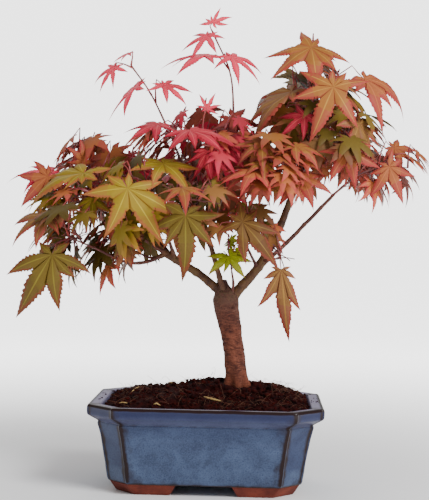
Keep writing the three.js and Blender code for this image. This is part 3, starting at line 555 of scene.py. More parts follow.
def soilPoints(turn, inwards):
    # from the wall, inwards 0, to the seat, inwards 1: the height rises with a power of a quarter sine,
    # plus a mound and lumps of several sizes
    radius = wallRadius(turn, soil["inset"])
    seatX, seatY, seatZ = soil["seat"]
    x = mix(radius * np.cos(turn), seatX + soil["seatRadius"] * np.cos(turn), inwards)
    y = mix(radius * np.sin(turn), seatY + soil["seatRadius"] * np.sin(turn), inwards)
    rise = np.sin(np.clip(inwards, 0, 1) * np.pi / 2) ** soil["steep"]
    z = mix(soil["edge"], seatZ, rise)
    for atX, atY, height, reach in soil["mounds"]:
        z = z + height * np.exp(-((x - atX) ** 2 + (y - atY) ** 2) / (2 * reach ** 2)) * rise
    ahead = smooth((soil["fallFrom"] - y) / soil["fallReach"])
    z = z - soil["fall"] * ahead * rise * bell((x - soil["fallMiddle"]) / soil["fallWidth"])
    rough = sum(height * lumps(x / size, y / size, 3 + size) for size, height in soil["lumps"])
    return np.stack([x, y, z + rough * mix(soil["lumpsAtEdge"], 1, smooth(inwards * 6))], -1)


def makeSoil():
    turn = ringTurns(soil["columns"])
    top = soilPoints(turn[None], np.linspace(0, 1, soil["rows"])[:, None])
    under = atRadius(wallRadius(turn, soil["underInset"]), turn, soil["under"])
    ground = skin(np.concatenate([under[None], top]))
    makePiece("soil_ground", ground, [peatMaterial()], ["soil"])

    clods, spilt = crumbs["clods"], crumbs["spilt"]
    count = crumbs["count"] + clods
    size = mix(*crumbs["size"], rng.random(count) ** crumbs["fewLarge"])
    size[:clods] = rng.uniform(*crumbs["clodSize"], clods)
    turn = rng.uniform(0, 2 * np.pi, count)
    inwards = 1 - np.sqrt(rng.random(count)) * crumbs["reach"]
    inwards[:clods] = 1 - rng.random(clods) * crumbs["clodsNear"]
    at = soilPoints(turn, inwards)
    at[..., 2] += size * rng.uniform(0.0, crumbs["lift"], count)
    ends = rng.normal(0, crumbs["spiltSpread"], spilt) + np.pi * (rng.random(spilt) < 0.5)
    out = wallRadius(ends, rng.uniform(*crumbs["spiltInset"], spilt))
    size[-spilt:] = np.minimum(size[-spilt:], crumbs["spiltSize"])
    at[-spilt:] = atRadius(out, ends, crumbs["rim"])
    peat = peatMaterial("peatCrumbs", 0.85)
    makePiece("soil_crumbs", pebbles(at, size), [peat], ["soil"], sharp=80)

    count = hairs["count"]
    turn = rng.uniform(0, 2 * np.pi, count)
    start = soilPoints(turn, 1 - np.sqrt(rng.random(count)) * hairs["reach"])
    length = rng.uniform(*hairs["length"], count)
    way = rng.uniform(0, 2 * np.pi, count)
    tilt = rng.uniform(*hairs["tilt"], count) ** 3
    run = length[:, None] * atRadius(1, way, tilt)
    curl = rng.normal(0, hairs["curl"], (count, 3)) * length[:, None]
    curl[:, 2] = np.abs(curl[:, 2]) + hairs["sunk"]
    t = np.linspace(0, 1, hairs["points"])[None, :, None]
    middle = start[:, None] + run[:, None] * t + 4 * t * (1 - t) * curl[:, None] - (0, 0, hairs["sunk"])
    inside = np.abs(middle[..., :2]).max(axis=1) < hairs["within"]
    middle = middle[inside.all(axis=1)]
    radius = np.linspace(*hairs["radius"], hairs["points"]) * np.ones((len(middle), 1))
    hair = newMaterial("rootHair", (96, 58, 38), Roughness=0.8)[0]
    makePiece("root_hairs", tubes(middle, radius, hairs["sides"]), [hair], ["soil"])

    parts = []
    t = np.linspace(0, 1, straws["points"])
    for (startX, startY), (endX, endY), width in straws["at"]:
        x, y = mix(startX, endX, t), mix(startY, endY, t)
        near = np.hypot(x[:, None] - ground[0][:, 0], y[:, None] - ground[0][:, 1]).argmin(1)
        level = np.interp(t, (0, 0.5, 1), ground[0][near, 2][[0, straws["points"] // 2, -1]])
        middle = np.stack([x, y, level + straws["lift"] + straws["rise"] * t], -1)
        radius = width * np.sin(np.pi * mix(*straws["ends"], t))
        parts.append(tubes(middle[None], radius[None], straws["sides"]))
    straw, add, where = newMaterial("straw", (196, 158, 92), Roughness=0.6)
    layered(add, (150, 108, 56), ((222, 190, 122), 1, grain(add, where, 700, 3)))
    makePiece("straw_chips", joined(parts), [straw], ["soil"])


def pebbles(at, size):
    # small lumps: the twelve corners of an icosahedron, each pushed in or out, flattened and turned
    golden = (1 + 5 ** 0.5) / 2
    corners = unit(np.array([np.roll((a, b, 0), turn)
                             for turn in range(3) for b in (golden, -golden) for a in (-1, 1)]))
    faces = np.array([(0, 11, 5), (0, 5, 1), (0, 1, 7), (0, 7, 10), (0, 10, 11), (1, 5, 9), (5, 11, 4),
                      (11, 10, 2), (10, 7, 6), (7, 1, 8), (3, 9, 4), (3, 4, 2), (3, 2, 6), (3, 6, 8),
                      (3, 8, 9), (4, 9, 5), (2, 4, 11), (6, 2, 10), (8, 6, 7), (9, 8, 1)])
    count = len(at)
    shape = corners * rng.uniform(*crumbs["push"], (count, 12, 1))
    shape = shape * rng.uniform(*crumbs["stretch"], (count, 1, 3))
    turn = rng.uniform(0, 2 * np.pi, (count, 1))
    x = shape[..., 0] * np.cos(turn) - shape[..., 1] * np.sin(turn)
    y = shape[..., 0] * np.sin(turn) + shape[..., 1] * np.cos(turn)
    points = np.stack([x, y, shape[..., 2] * crumbs["flat"]], -1) * size[:, None, None] + at[:, None]
    every = faces[None] + 12 * np.arange(count)[:, None, None]
    return points.reshape(-1, 3), threes(every.reshape(-1, 3))


def peatMaterial(name="peat", lightness=0.7):
    material, add, where = newMaterial(name, (50, 27, 24), Roughness=0.95, Specular_IOR_Level=0.1)
    patches, bits = grain(add, where, 160, 5), grain(add, where, 900)
    layered(add, (17, 3, 4), ((58 * lightness + 12, 14 * lightness + 3, 10), 1, (patches, 0.35, 0.7)),
            ((98, 42, 26), lightness * 0.8, (bits, 0.62, 0.8)))
    relief(add, bits, 0.0012, 0.8)
    return material


# Trunk: level rings about a line that leans, with the flare of its roots, knots and the bark's relief

trunk = {
    # middle, height and radius of each level section, up to the sawn stub over the fork
    "sections": [
        (25.2, 88.6, 12.6), (25.0, 91, 11.2), (24.4, 96, 10.2), (23.2, 108, 9.4), (21.6, 122, 9.2),
        (19.2, 134, 9.5), (17.0, 144, 10.0), (15.0, 152, 10.7), (14.2, 160, 11.0), (13.8, 166, 10.2),
        (12.4, 171, 7.2), (11.2, 175, 5.2), (10.5, 178.6, 4.4),
    ],
    "sides": 14, "flare": 0.16, "rootLobes": 5, "rootTurn": 1, "rootHeight": 9, "swell": 0.05,
    "columns": 110, "rows": 190, "sunk": 9, "slimmer": 2.2, "slimTo": 7, "girth": 10,
    "cut": ((0.12, 0.25), (0.45, 0.1), (0.8, 0.15)),            # inwards over the sawn stub, and its height
    # angle, height, size; angle, height, how far out, how wide
    "knots": ((-51, 113.5, 1.3), (-57, 155, 1.5), (-92, 138, 1.1), (160, 127, 1.4), (95, 146, 1.6)),
    "bulges": ((8, 153, 0.7, 9), (-120, 147, 0.6, 8), (80, 150, 0.6, 9)),
    # round each knot: how deep and wide its pit is, and how high, how far out and how wide the ring round
    # it is, times the knot's size
    "knotGirth": 9.8, "pit": (0.9, 0.7), "ring": (0.45, 1.35, 0.5),
    # how many lumps go round, their height and their key
    "lean": (6, 18, 8.8), "cracks": (16, 13, 4.4), "fine": (44, 3.5, 9.1), "wrinkles": (7, 1.1, 6.3),
    "low": (9, 7, 2.5), "leanBy": 1.4, "crackPower": 0.6, "crackMiddle": 0.45, "fineBy": 0.35, "lowBy": 0.5,
    "fissure": 0.42, "wrinkle": 0.22, "wrinkleFrom": (96, 12), "smoothFrom": (170, 8), "smoothTo": 0.35,
}


def trunkRings(columns, heights, extra=0, rowed=False):
    # a circle about the middle line, times 1 + flare x cosine of five lobes, which dies out with height
    sections = np.array(trunk["sections"], float)
    turn = ringTurns(columns)
    x, radius = (np.interp(heights, sections[:, 1], sections[:, i]) for i in (0, 2))
    if rowed:
        swell = trunk["swell"] * (chance(np.arange(len(heights))[:, None], np.arange(columns)[None]) - 0.5)
    else:
        smoothed = curve(sections, np.interp(heights, sections[:, 1], np.linspace(0, 1, len(sections))))
        x, radius = smoothed[:, 0], smoothed[:, 2]
        swell = 0
    flare = trunk["flare"] * np.exp(-(heights - sections[0, 1]) / trunk["rootHeight"])
    girth = 1 + flare[:, None] * np.cos(trunk["rootLobes"] * turn + trunk["rootTurn"]) + swell
    return turn, x, radius[:, None] * girth + extra


def ringPoints(turn, x, reach, heights):
    return atRadius(reach, turn, heights[:, None]) + x[:, None, None] * (1, 0, 0)


def makeTrunk():
    sections = np.array(trunk["sections"], float)
    heights = np.linspace(sections[0, 1], sections[-1, 1], trunk["rows"])
    turn, x, reach = trunkRings(trunk["columns"], heights)
    u, v = turn[None] / (2 * np.pi), heights[:, None]

    def rough(count, size, key, shift=0):
        return lumps(u * count + shift, v / size, key, around=count)

    def off(angle):  # how far round the bark a place is from an angle
        return np.angle(np.exp(1j * (turn - math.radians(angle))))[None]

    def above(height, run):  # how far up a place is past a height
        return smooth((v - height) / run)

    for angle, height, out, wide in trunk["bulges"]:
        far = (off(angle) * trunk["girth"]) ** 2 + (v - height) ** 2
        reach = reach + out * np.exp(-far / (2 * wide ** 2 / 4))
    reach = reach - trunk["slimmer"] * np.exp(-(v - heights[0]) / trunk["slimTo"])
    lean = trunk["leanBy"] * rough(*trunk["lean"])
    cracks = -np.abs(rough(*trunk["cracks"], lean)) ** trunk["crackPower"]
    wrinkles = rough(*trunk["wrinkles"]) * above(*trunk["wrinkleFrom"])
    fine = trunk["fineBy"] * rough(*trunk["fine"], lean * 3)
    bark = trunk["fissure"] * (cracks + trunk["crackMiddle"] + fine) + trunk["wrinkle"] * wrinkles
    bark = bark + trunk["lowBy"] * rough(*trunk["low"])
    (deep, wide), (high, out, spare) = trunk["pit"], trunk["ring"]
    for angle, height, size in trunk["knots"]:      # a pit with a ring of swollen bark round it
        far = np.sqrt((off(angle) * trunk["knotGirth"]) ** 2 + (v - height) ** 2)
        pit, swollen = bell(far / (wide * size)), bell((far - out * size) / (spare * size))
        bark = bark - deep * size * pit + high * size * swollen
    reach = reach + bark * mix(trunk["smoothTo"], 1, 1 - above(*trunk["smoothFrom"]))
    rings = ringPoints(turn, x, reach, heights)
    sunk = rings[:1] * (1, 1, 0) + (0, 0, heights[0] - trunk["sunk"])
    cut = [mix(rings[-1:], rings[-1].mean(0), inner) + (0, 0, rise) for inner, rise in trunk["cut"]]
    points, faces = skin(np.concatenate([sunk, rings, *cut]))
    kinds = (points[faces[:, 0], 2] >= heights[-1]).astype(int)
    sawn, add, where = newMaterial("oldCut", (78, 46, 38), Roughness=0.9)
    layered(add, (52, 28, 26), ((104, 64, 50), 1, grain(add, where, 900)))
    makePiece("trunk_bark", (points, faces), [barkMaterial(), sawn], ["trunk"], kinds=kinds)


def barkMaterial():
    # reddish brown bark in upright streaks, darker in its cracks, greyer and greener towards the fork
    material, add, where = newMaterial("redBark", (116, 64, 48), Roughness=0.82, Specular_IOR_Level=0.25)
    drawnOut = add("Mapping", {"Vector": where, "Scale": (1, 1, 3.2)}).outputs[0]
    streaks = grain(add, drawnOut, 260, 6, Distortion=0.6)
    patches, flakes = grain(add, where, 110, 5), grain(add, where, 900)
    height = add("SeparateXYZ", {"Vector": where}).outputs["Z"]
    layered(add, (72, 36, 28),
            ((116, 64, 47), 1, (patches, 0.38, 0.62)),
            ((136, 80, 60), 0.6, (streaks, 0.52, 0.7)),
            ((54, 27, 24), 0.7, (streaks, 0.47, 0.34)),
            ((78, 54, 46), 0.75, (height, 0.136, 0.160), (patches, 0.34, 0.56)),
            ((66, 58, 38), 0.65, (height, 0.150, 0.168), (streaks, 0.4, 0.6)),
            ((56, 32, 28), 0.8, (height, 0.168, 0.175)),
            ((104, 50, 28), 0.6, (height, 0.104, 0.086)),
            ((42, 22, 20), 0.7, (flakes, 0.44, 0.3)))
    relief(add, streaks, 0.0012, 0.9)
    return material


# Boughs: points along the middle, and the radius at the base and at the tip

boughs = {
    "left_bough": ([(14, 0, 162), (4, -1, 173), (-12, -3, 185), (-41, -6, 202)], (3.9, 3.0)),
    "right_bough": ([(17, 0, 158), (23, 0, 168), (45, 3, 195), (64, 6, 236), (74, 8, 267), (82, 8, 295)],
                    (4.6, 2.1)),
    "centre_stem": ([(13, -2, 164), (10.5, -6, 175), (0, -7, 209), (-9, -6, 238), (-18, 0, 290)], (2.5, 1.2)),
    "fork_twig": ([(18, -3, 163), (20.5, -5, 174), (19, -6, 186)], (1.4, 0.8)),
    "left_low_limb": ([(-38, -6, 201), (-56, -13, 193), (-75, -20, 194), (-94, -27, 203)], (1.7, 1.0)),
    "left_under_limb": ([(-38, -5, 200), (-52, 2, 197), (-66, 7, 202)], (1.2, 0.8)),
    "left_mid_limb": ([(-37, -7, 200), (-53, -15, 210), (-72, -22, 222)], (1.6, 1.0)),
    "left_back_limb": ([(-32, -4, 197), (-52, 18, 217), (-80, 40, 243)], (1.6, 1.0)),
    "left_up_limb": ([(-31, -6, 197), (-40, -14, 226), (-50, -24, 250)], (1.5, 0.9)),
    "left_shoot_limb": ([(-6, -6, 226), (-22, 4, 268), (-36, 6, 302)], (1.3, 0.9)),
    "top_shoot_limb": ([(-3, -6, 217), (9, -1, 252), (16, 2, 283), (18, 2, 302)], (1.6, 1.1)),
    "centre_front_limb": ([(0, -7, 208), (-8, -20, 224), (-18, -36, 240)], (1.3, 0.9)),
    "centre_back_limb": ([(-5, -6, 222), (-4, 22, 247), (-2, 46, 270)], (1.4, 0.9)),
    "centre_low_limb": ([(41, 2, 190), (34, -14, 204), (29, -33, 217)], (1.3, 0.8)),
    "right_hanging_limb": ([(46, 3, 196), (54, -12, 198), (59, -27, 199)], (1.2, 0.8)),
    "right_side_bough": ([(42, 3, 190), (61, 2, 207), (84, 0, 231), (106, -6, 255)], (2.0, 1.4)),
    "right_inner_limb": ([(74, 8, 268), (68, -8, 276), (60, -24, 277)], (1.2, 0.8)),
    "right_front_limb": ([(76, 8, 274), (88, -4, 284), (101, -13, 293)], (1.3, 0.9)),
    "right_back_limb": ([(69, 7, 251), (82, 30, 267), (95, 52, 283)], (1.4, 0.9)),
}
boughFinish = {
    "sides": 18, "step": 1.4, "collar": 0.5, "collarReach": 7, "nodeGap": 21, "nodeHeight": 0.16,
    "nodeReach": 1.5, "drift": 0.28, "driftSize": 11, "relief": 0.07, "youngest": 0.9, "oldest": 3.4,
    "bark": ((6, 5, 3, 1), (9, 1.8, 5, 0.6)),               # how many lumps go round, length, key and height
    "testSides": 5, "testSteps": 2, "margin": 0.8,          # of the plain bars that leaves are tried against
}


def boughSkin(points, radii, key):
    # a round limb whose radius thins evenly, with a collar at its base, rings where leaves once stood
    # and a low relief all over
    finish, sides = boughFinish, boughFinish["sides"]
    rough = curve(points, np.linspace(0, 1, 60))
    rows = int(np.linalg.norm(np.diff(rough, axis=0), axis=1).sum() / finish["step"]) + 2
    t = np.linspace(0, 1, rows)
    middle = curve(points, t)
    along = np.concatenate([[0], np.cumsum(np.linalg.norm(np.diff(middle, axis=0), axis=1))])
    radius = mix(radii[0], radii[1], along / along[-1])
    radius = radius * (1 + finish["collar"] * bell(along / finish["collarReach"]))
    toNode = np.mod(along + finish["nodeGap"] * chance(key, 1), finish["nodeGap"]) - finish["nodeGap"] / 2
    radius = radius * (1 + finish["nodeHeight"] * bell(toNode / finish["nodeReach"]))
    flow = along / finish["driftSize"]
    drift = np.stack([lumps(flow, 0 * flow + axis, key + axis) for axis in range(3)], -1)
    middle = middle + finish["drift"] * drift * np.sin(np.pi * t)[:, None]
    tube, faces = tubes(middle[None], radius[None], sides)
    rings = tube[:-2].reshape(rows, sides, 3)
    turn = np.arange(sides)[None] / sides
    bark = sum(height * lumps(turn * count, along[:, None] / size, key + more, around=count)
               for count, size, more, height in finish["bark"])
    rings = middle[:, None] + (rings - middle[:, None]) * (1 + finish["relief"] * bark[..., None])
    age = np.clip((radius - finish["youngest"]) / (finish["oldest"] - finish["youngest"]), 0, 1)
    age = np.repeat(age, sides)
    return np.vstack([rings.reshape(-1, 3), tube[-2:]]), faces, np.append(age, [age[0], age[-1]])


def makeBoughs():
    made = [boughSkin(points, radii, 5 + 3 * i) for i, (points, radii) in enumerate(boughs.values())]
    surface = joined([(points, faces) for points, faces, _ in made])
    ages = np.concatenate([age for _, _, age in made])
    material = youngBarkMaterial()
    makePiece("bough_bark", surface, [material], list(boughs), attributes={"age": ages})


def youngBarkMaterial():
    # maroon on thin limbs, grey brown with an olive cast on thick ones, finely streaked
    material, add, where = newMaterial("youngBark", (90, 54, 38), Roughness=0.6, Specular_IOR_Level=0.25)
    patches, flecks, age = grain(add, where, 140, 5), grain(add, where, 1100, 3), spread(add, "age")
    young, old = (blend(add, share(add, patches, 0.35, 0.65), dark, pale) for dark, pale in (
        ((70, 32, 32), (98, 50, 42)), ((60, 36, 24), (98, 66, 40))))
    layered(add, young,
            (old, 1, (age, 0.05, 0.75)),
            ((80, 62, 32), 0.6, (patches, 0.5, 0.62), (age, 0.3, 0.8)),
            ((130, 94, 66), 0.5, (flecks, 0.6, 0.74)),
            ((44, 24, 24), 0.6, (flecks, 0.4, 0.28)))
    relief(add, patches, 0.0006, 0.5)
    return material


# Growth: the same rule as the solids have. Each mass grows from its limb's tip to its heart, and spreads
# its leaves by reach. A leading leaf is given: its heart, where its middle lobe points, what it
# faces, its blade's length and its colour. Those that face the viewer have lobes of their own, by their
# angles from the middle lobe and their lengths. For some it is said how far the lobes spread, and at what
# share of the stem the stalk leaves it.

massColumns = ("name", "limb", "heart", "reach", "shoots", "blade", "seed", "tints", "leads")
masses = [dict(zip(massColumns, row)) for row in [
    ("left_end", "left_low_limb", (-119, -32, 213), (30, 24, 16), 3, 41, 11, ("olive", "bronze", "olive"), [
        ((-132, -42, 199), (-0.36, -0.12, -0.92), (0, -1, 0.16), 62, "olive", {"spread": 1.05, "joint": 1,
         "lobes": ((-150, 18), (-92, 37), (-62, 28), (-27, 48), (7, 62), (48, 43), (106, 16))}),
        ((-138, -44, 231), (-0.9, -0.35, -0.42), (-0.1, -0.5, 0.85), 42, "bronze")]),
    ("left_upper", "left_mid_limb", (-106, -16, 248), (34, 22, 18), 6, 42, 24,
     ("lime", "lime", "coral", "olive", "lime"), [
        ((-108, -32, 268), (-0.86, -0.3, -0.42), (-0.12, -0.48, 0.87), 46, "lime", {
         "lobes": ((-166, 26), (-105, 19), (-60, 16), (-18, 24), (23, 60), (62, 57), (98, 36))}),
        ((-144, 0, 266), (-0.7, -0.15, -0.7), (0.2, -0.8, 0.55), 38, "coral")]),
    ("left_front", "left_up_limb", (-66, -42, 250), (30, 22, 22), 5, 42, 37, ("lime", "lime", "olive"), [
        ((-67, -62, 255), (0.5, -0.2, -0.84), (0.05, -0.9, 0.42), 51, "lime", {
         "lobes": ((-144, 15), (-75, 31), (-38, 49), (-6, 54), (49, 44), (112, 38), (150, 21))}),
        ((-40, -36, 277), (0.66, -0.5, -0.5), (0.1, -0.5, 0.85), 42, "lime", {
         "lobes": ((-140, 12), (-96, 18), (-53, 33), (0, 42), (60, 30), (112, 31), (150, 26))})]),
    ("left_under", "left_under_limb", (-82, 8, 208), (32, 24, 12), 3, 36, 41,
     ("olive", "bronze", "coral"), []),
    ("left_back", "left_back_limb", (-108, 44, 266), (36, 30, 22), 4, 40, 53,
     ("coral", "crimson", "rose", "coral"), [
        ((-116, 18, 281), (0.1, -0.2, 1), (0.6, -0.8, 0.1), 22, "coral"),
        ((-147, 20, 270), (-0.75, -0.1, 0.1), (0, -0.5, 0.85), 36, "rose")]),
    ("red_crown", "centre_stem", (-8, -14, 300), (48, 36, 9), 7, 42, 67,
     ("crimson", "crimson", "ruby", "coral"), [
        ((-18, -42, 305), (0.6, -0.72, -0.36), (0, -0.4, 0.92), 47, "crimson", {
         "lobes": ((-112, 15), (-72, 25), (-40, 54), (-14, 40), (22, 31), (62, 37), (104, 25))}),
        ((-46, -22, 311), (-0.72, -0.6, -0.3), (0, -0.35, 0.95), 38, "crimson"),
        ((-5, -8, 327), (0.35, -0.2, 0.9), (0, -0.9, 0.4), 17, "rose")]),
    ("left_shoot", "left_shoot_limb", (-73, 5, 365), (20, 20, 20), 0, 30, 71, ("rose",), [
        ((-76, 5, 375), (-0.85, -0.1, -0.4), (-0.3, -0.3, 0.9), 18, "rose", {"joint": 1}),
        ((-88, 2, 362), (-0.62, -0.25, -0.75), (-0.5, -0.6, 0.6), 28, "rose", {"joint": 0.97}),
        ((-69, 6, 346), (-0.74, 0.1, -0.66), (-0.6, -0.3, 0.75), 41, "rose", {"joint": 0.66}),
        ((-43, -5, 347), (0.8, -0.25, -0.45), (0.35, -0.6, 0.8), 32, "rose", {"joint": 0.6})]),
    ("top_shoot", "top_shoot_limb", (-1, 0, 393), (20, 20, 20), 0, 30, 83, ("rose",), [
        ((-2, -3, 402), (0.5, -0.15, 0.8), (-0.1, -0.95, 0.2), 17, "rose", {"joint": 1,
         "lobes": ((-130, 13), (-98, 8), (-48, 7), (-4, 15), (37, 18), (68, 15), (112, 7))}),
        ((-6, -6, 390), (-0.5, -0.55, -0.65), (-0.3, -0.6, 0.75), 29, "rose", {"joint": 0.98}),
        ((-7, -4, 373), (-1, -0.1, -0.06), (0, -0.25, 1), 46, "rose", {"joint": 0.72}),
        ((15, -3, 372), (0.86, -0.2, -0.42), (0.3, -0.5, 0.85), 39, "rose", {"joint": 0.72})]),
    ("centre_front", "centre_front_limb", (-20, -50, 246), (24, 18, 18), 3, 38, 97, ("olive", "bronze"), [
        ((-19, -58, 234), (0.03, -0.15, -1), (0, -0.97, 0.2), 50, "olive", {
         "lobes": ((-125, 16), (-87, 33), (-40, 36), (0, 54), (36, 33), (70, 36), (122, 24))}),
        ((-21, -80, 255), (0.28, -0.9, -0.32), (0.05, -0.5, 0.87), 30, "apricot")]),
    ("centre_low", "centre_low_limb", (30, -44, 228), (22, 16, 14), 3, 36, 101,
     ("bronze", "apricot", "olive"), [
        ((28, -54, 229), (0.5, -0.3, -0.8), (0.05, -0.88, 0.45), 42, "umber", {
         "lobes": ((-158, 19), (-100, 18), (-46, 33), (-10, 49), (28, 36), (96, 24), (150, 14))})]),
    ("centre_back", "centre_back_limb", (-4, 68, 280), (44, 28, 26), 4, 42, 113,
     ("coral", "apricot", "crimson", "bronze"), []),
    ("sprig", "fork_twig", (18, -12, 197), (8, 8, 5), 1, 18, 127, ("fresh",), [
        ((17, -20, 200), (0.3, -0.35, -0.9), (0, -0.85, 0.5), 22, "fresh", {
         "lobes": ((-150, 10), (-100, 10), (-62, 21), (-18, 23), (30, 16), (69, 24), (108, 20))})]),
    ("top_right", "right_bough", (88, 0, 338), (30, 24, 30), 6, 44, 131, ("apricot", "bronze", "olive"), [
        ((84, -6, 381), (-0.12, -0.72, -0.66), (-0.05, -0.62, 0.78), 48, "apricot", {
         "lobes": ((-165, 18), (-70, 38), (-42, 37), (-12, 50), (38, 50), (76, 42), (153, 32))}),
        ((102, -36, 344), (-0.25, -0.25, -0.9), (0, -0.92, 0.38), 50, "apricot", {"spread": 1.1, "joint": 1,
         "lobes": ((-156, 18), (-120, 32), (-46, 40), (7, 50), (60, 36), (104, 34), (160, 17))}),
        ((68, -12, 342), (-0.9, -0.2, -0.5), (-0.25, -0.5, 0.82), 50, "bronze", {
         "lobes": ((-143, 14), (-70, 17), (-12, 57), (16, 50), (40, 38), (66, 56), (108, 20))}),
        ((130, 0, 356), (0.76, -0.15, -0.6), (0.3, -0.6, 0.75), 46, "coral", {
         "lobes": ((-114, 14), (-70, 24), (-38, 56), (-8, 36), (29, 50), (75, 22), (116, 16))}),
        ((79, -20, 321), (-0.75, -0.2, -0.55), (-0.1, -0.7, 0.7), 32, "crimson")]),
    ("right_front", "right_front_limb", (114, -20, 302), (26, 20, 22), 5, 42, 149,
     ("bronze", "olive", "coral"), [
        ((124, -28, 314), (0.4, -0.22, -0.88), (0.7, -0.65, 0.3), 40, "bronze"),
        ((115, -44, 290), (0.25, -0.4, -0.88), (0.1, -0.8, 0.6), 38, "coral")]),
    ("right_end", "right_side_bough", (143, -8, 279), (20, 22, 14), 3, 32, 151, ("coral", "apricot"), [
        ((152, -16, 279), (0.36, -0.2, -0.92), (0, -0.95, 0.3), 34, "coral", {"spread": 1.1, "joint": 1,
         "lobes": ((-147, 18), (-100, 12), (-47, 24), (-1, 34), (49, 31), (84, 18), (130, 10))}),
        ((158, 2, 296), (0.85, -0.15, -0.5), (0.1, -0.6, 0.8), 30, "coral")]),
    ("right_inner", "right_inner_limb", (56, -38, 272), (24, 18, 14), 4, 36, 163,
     ("coral", "coral", "apricot"), [
        ((76, -46, 266), (0.3, -0.75, -0.55), (0, -0.6, 0.8), 38, "coral")]),
    ("right_back", "right_back_limb", (108, 64, 300), (38, 28, 32), 4, 42, 173,
     ("bronze", "apricot", "olive"), []),
    ("right_hanging", "right_hanging_limb", (60, -34, 204), (14, 12, 12), 2, 36, 181, ("coral", "apricot"), [
        ((61, -40, 190), (0.12, -0.12, -1), (0.1, -0.98, 0.1), 58, "bronze", {"spread": 0.6, "joint": 1,
         "lobes": ((-100, 9), (-55, 15), (-17, 38), (0, 61), (32, 37), (66, 17), (110, 9))})]),
]]
growth = {
    "lobeAngles": (-98, -49, 0, 49, 98), "lobeLengths": (0.7, 0.92, 1, 0.92, 0.7), "lobeSwing": 8,
    "lobeVariety": 0.16, "lobeShoulders": 0.74, "lobeHalfWidth": 0.13, "leafInlet": 0.32,
    "leafSag": (0.08, 0.28), "testThickness": 0.07, "testRadius": 0.9, "stalkRadius": 0.55,
    "stalkBend": 0.3, "leafBack": 0.09, "stemBase": 0.9,
    "stubShare": 0.15, "twigSides": 3, "stemTip": 0.7, "stemSides": 4, "stemSteps": 4, "stemRoot": 3,
    "stemLead": 0.4, "stemBend": 0.3, "leadJoints": (0.55, 0.7, 0.85, 1), "shootRadius": (0.75, 0.6),
    "shootRise": 0.08, "shootReach": (0.55, 0.8), "outerJoint": 0.95, "innerJoint": 0.2, "twigMargin": 0.35,
    "spaceMargin": 24, "tries": 5, "triesTurn": 38, "pairSwing": (-15, 15), "stalkAhead": 0.5,
    "stalkLift": 0.1, "stalkShare": (0.43, 0.74), "bladeShare": (0.78, 1.18), "leafOutwards": 0.45,
    "leafDroop": (0.35, 0.95), "leafSpread": (0.7, 1), "crownAxis": (15, 0), "crownBase": 190,
    "crownHeight": 140, "risingFace": (0.4, 1.3), "faceOutwards": 0.5, "faceSwing": (-0.2, 0.2),
    "viewerSide": (0, -0.3, 0.25),
}
fineTwigs = {
    "joints": (0.28, 0.52, 0.76, 0.98, 0.66), "stemJoints": (0.3, 0.46, 0.6, 0.74, 0.86, 0.98),
    "limbJoints": (0.42, 0.52, 0.62, 0.72, 0.8, 0.88, 0.95),
    "turns": ((50, 0.3), (-50, -0.2), (50, 0.15), (-8, 0), (20, 1.2)),      # to a side, and upwards
    "variety": (0.8, 1.2), "length": (9, 18), "radius": (0.5, 0.38), "shrink": 0.965, "nearTwig": 0.5,
    "blade": 0.85, "thin": 0.45, "tries": 9, "beyond": 0.08, "rise": 0.6, "pairTurn": 0.6,
}
# Open places of the crown, as ellipses in the plane of the trunk: x, z and reach. No leaf but a leading
# one is seen in them from the front, or close in front of a leading leaf that faces the viewer.
openPlaces = ((80, 205, 14, 40), (100, 215, 16, 24), (34, 184, 13, 10), (4, 196, 9, 10), (-14, 168, 30, 14),
              (-62, 180, 18, 7), (112, 254, 12, 6))
leadShare = (0.3, 0.62)     # the middle of a leading leaf's blade, and how far round it others keep away
leadBehind = -1             # how far behind it they may pass
goldenAngle = math.pi * (3 - math.sqrt(5))
mostShapes = 9000
standing = {"low": np.full((mostShapes, 3), 1e9), "high": np.full((mostShapes, 3), -1e9), "shapes": []}
grown = {"stems": [], "shoots": [], "stalks": [], "leaves": []}


def floats(*vectors):
    return [np.array(vector, float) for vector in vectors]


def shapeOf(surface):  # a surface's triangles, its edges and its box, to be tried against others
    points, faces = surface
    quads, thirds = faces[faces[:, 3] >= 0], faces[faces[:, 3] < 0][:, :3]
    triangles = np.vstack([quads[:, :3], quads[:, [0, 2, 3]], thirds])
    edges = np.vstack([triangles[:, [0, 1]], triangles[:, [1, 2]], triangles[:, [2, 0]]])
    edges = np.unique(np.sort(edges, axis=1), axis=0)
    return {"faces": points[triangles], "edges": points[edges], "low": points.min(0), "high": points.max(0)}


def pierce(edges, faces):
    # does an edge pass through a triangle? The crossing is where its distance along the edge and its two
    # shares of the triangle's sides are all from 0 to 1
    first, sideA, sideB = faces[:, 0], faces[:, 1] - faces[:, 0], faces[:, 2] - faces[:, 0]
    normal = np.cross(sideA, sideB)
    run = edges[:, 1] - edges[:, 0]
    gap = edges[:, None, 0] - first[None]
    facing = run @ normal.T
    facing = np.where(facing == 0, 1e-30, facing)
    turned = np.cross(gap, run[:, None])
    shareA = -np.einsum("efk,fk->ef", turned, sideB) / facing
    shareB = np.einsum("efk,fk->ef", turned, sideA) / facing
    along = -np.einsum("efk,fk->ef", gap, normal) / facing
    return bool(np.any((shareA >= 0) & (shareB >= 0) & (shareA + shareB <= 1) & (along >= 0) & (along <= 1)))


def stand(surface, mass, wood):
    shape = surface if isinstance(surface, dict) else shapeOf(surface)
    standing["low"][len(standing["shapes"])] = shape["low"]
    standing["high"][len(standing["shapes"])] = shape["high"]
    standing["shapes"].append((shape, mass, wood))


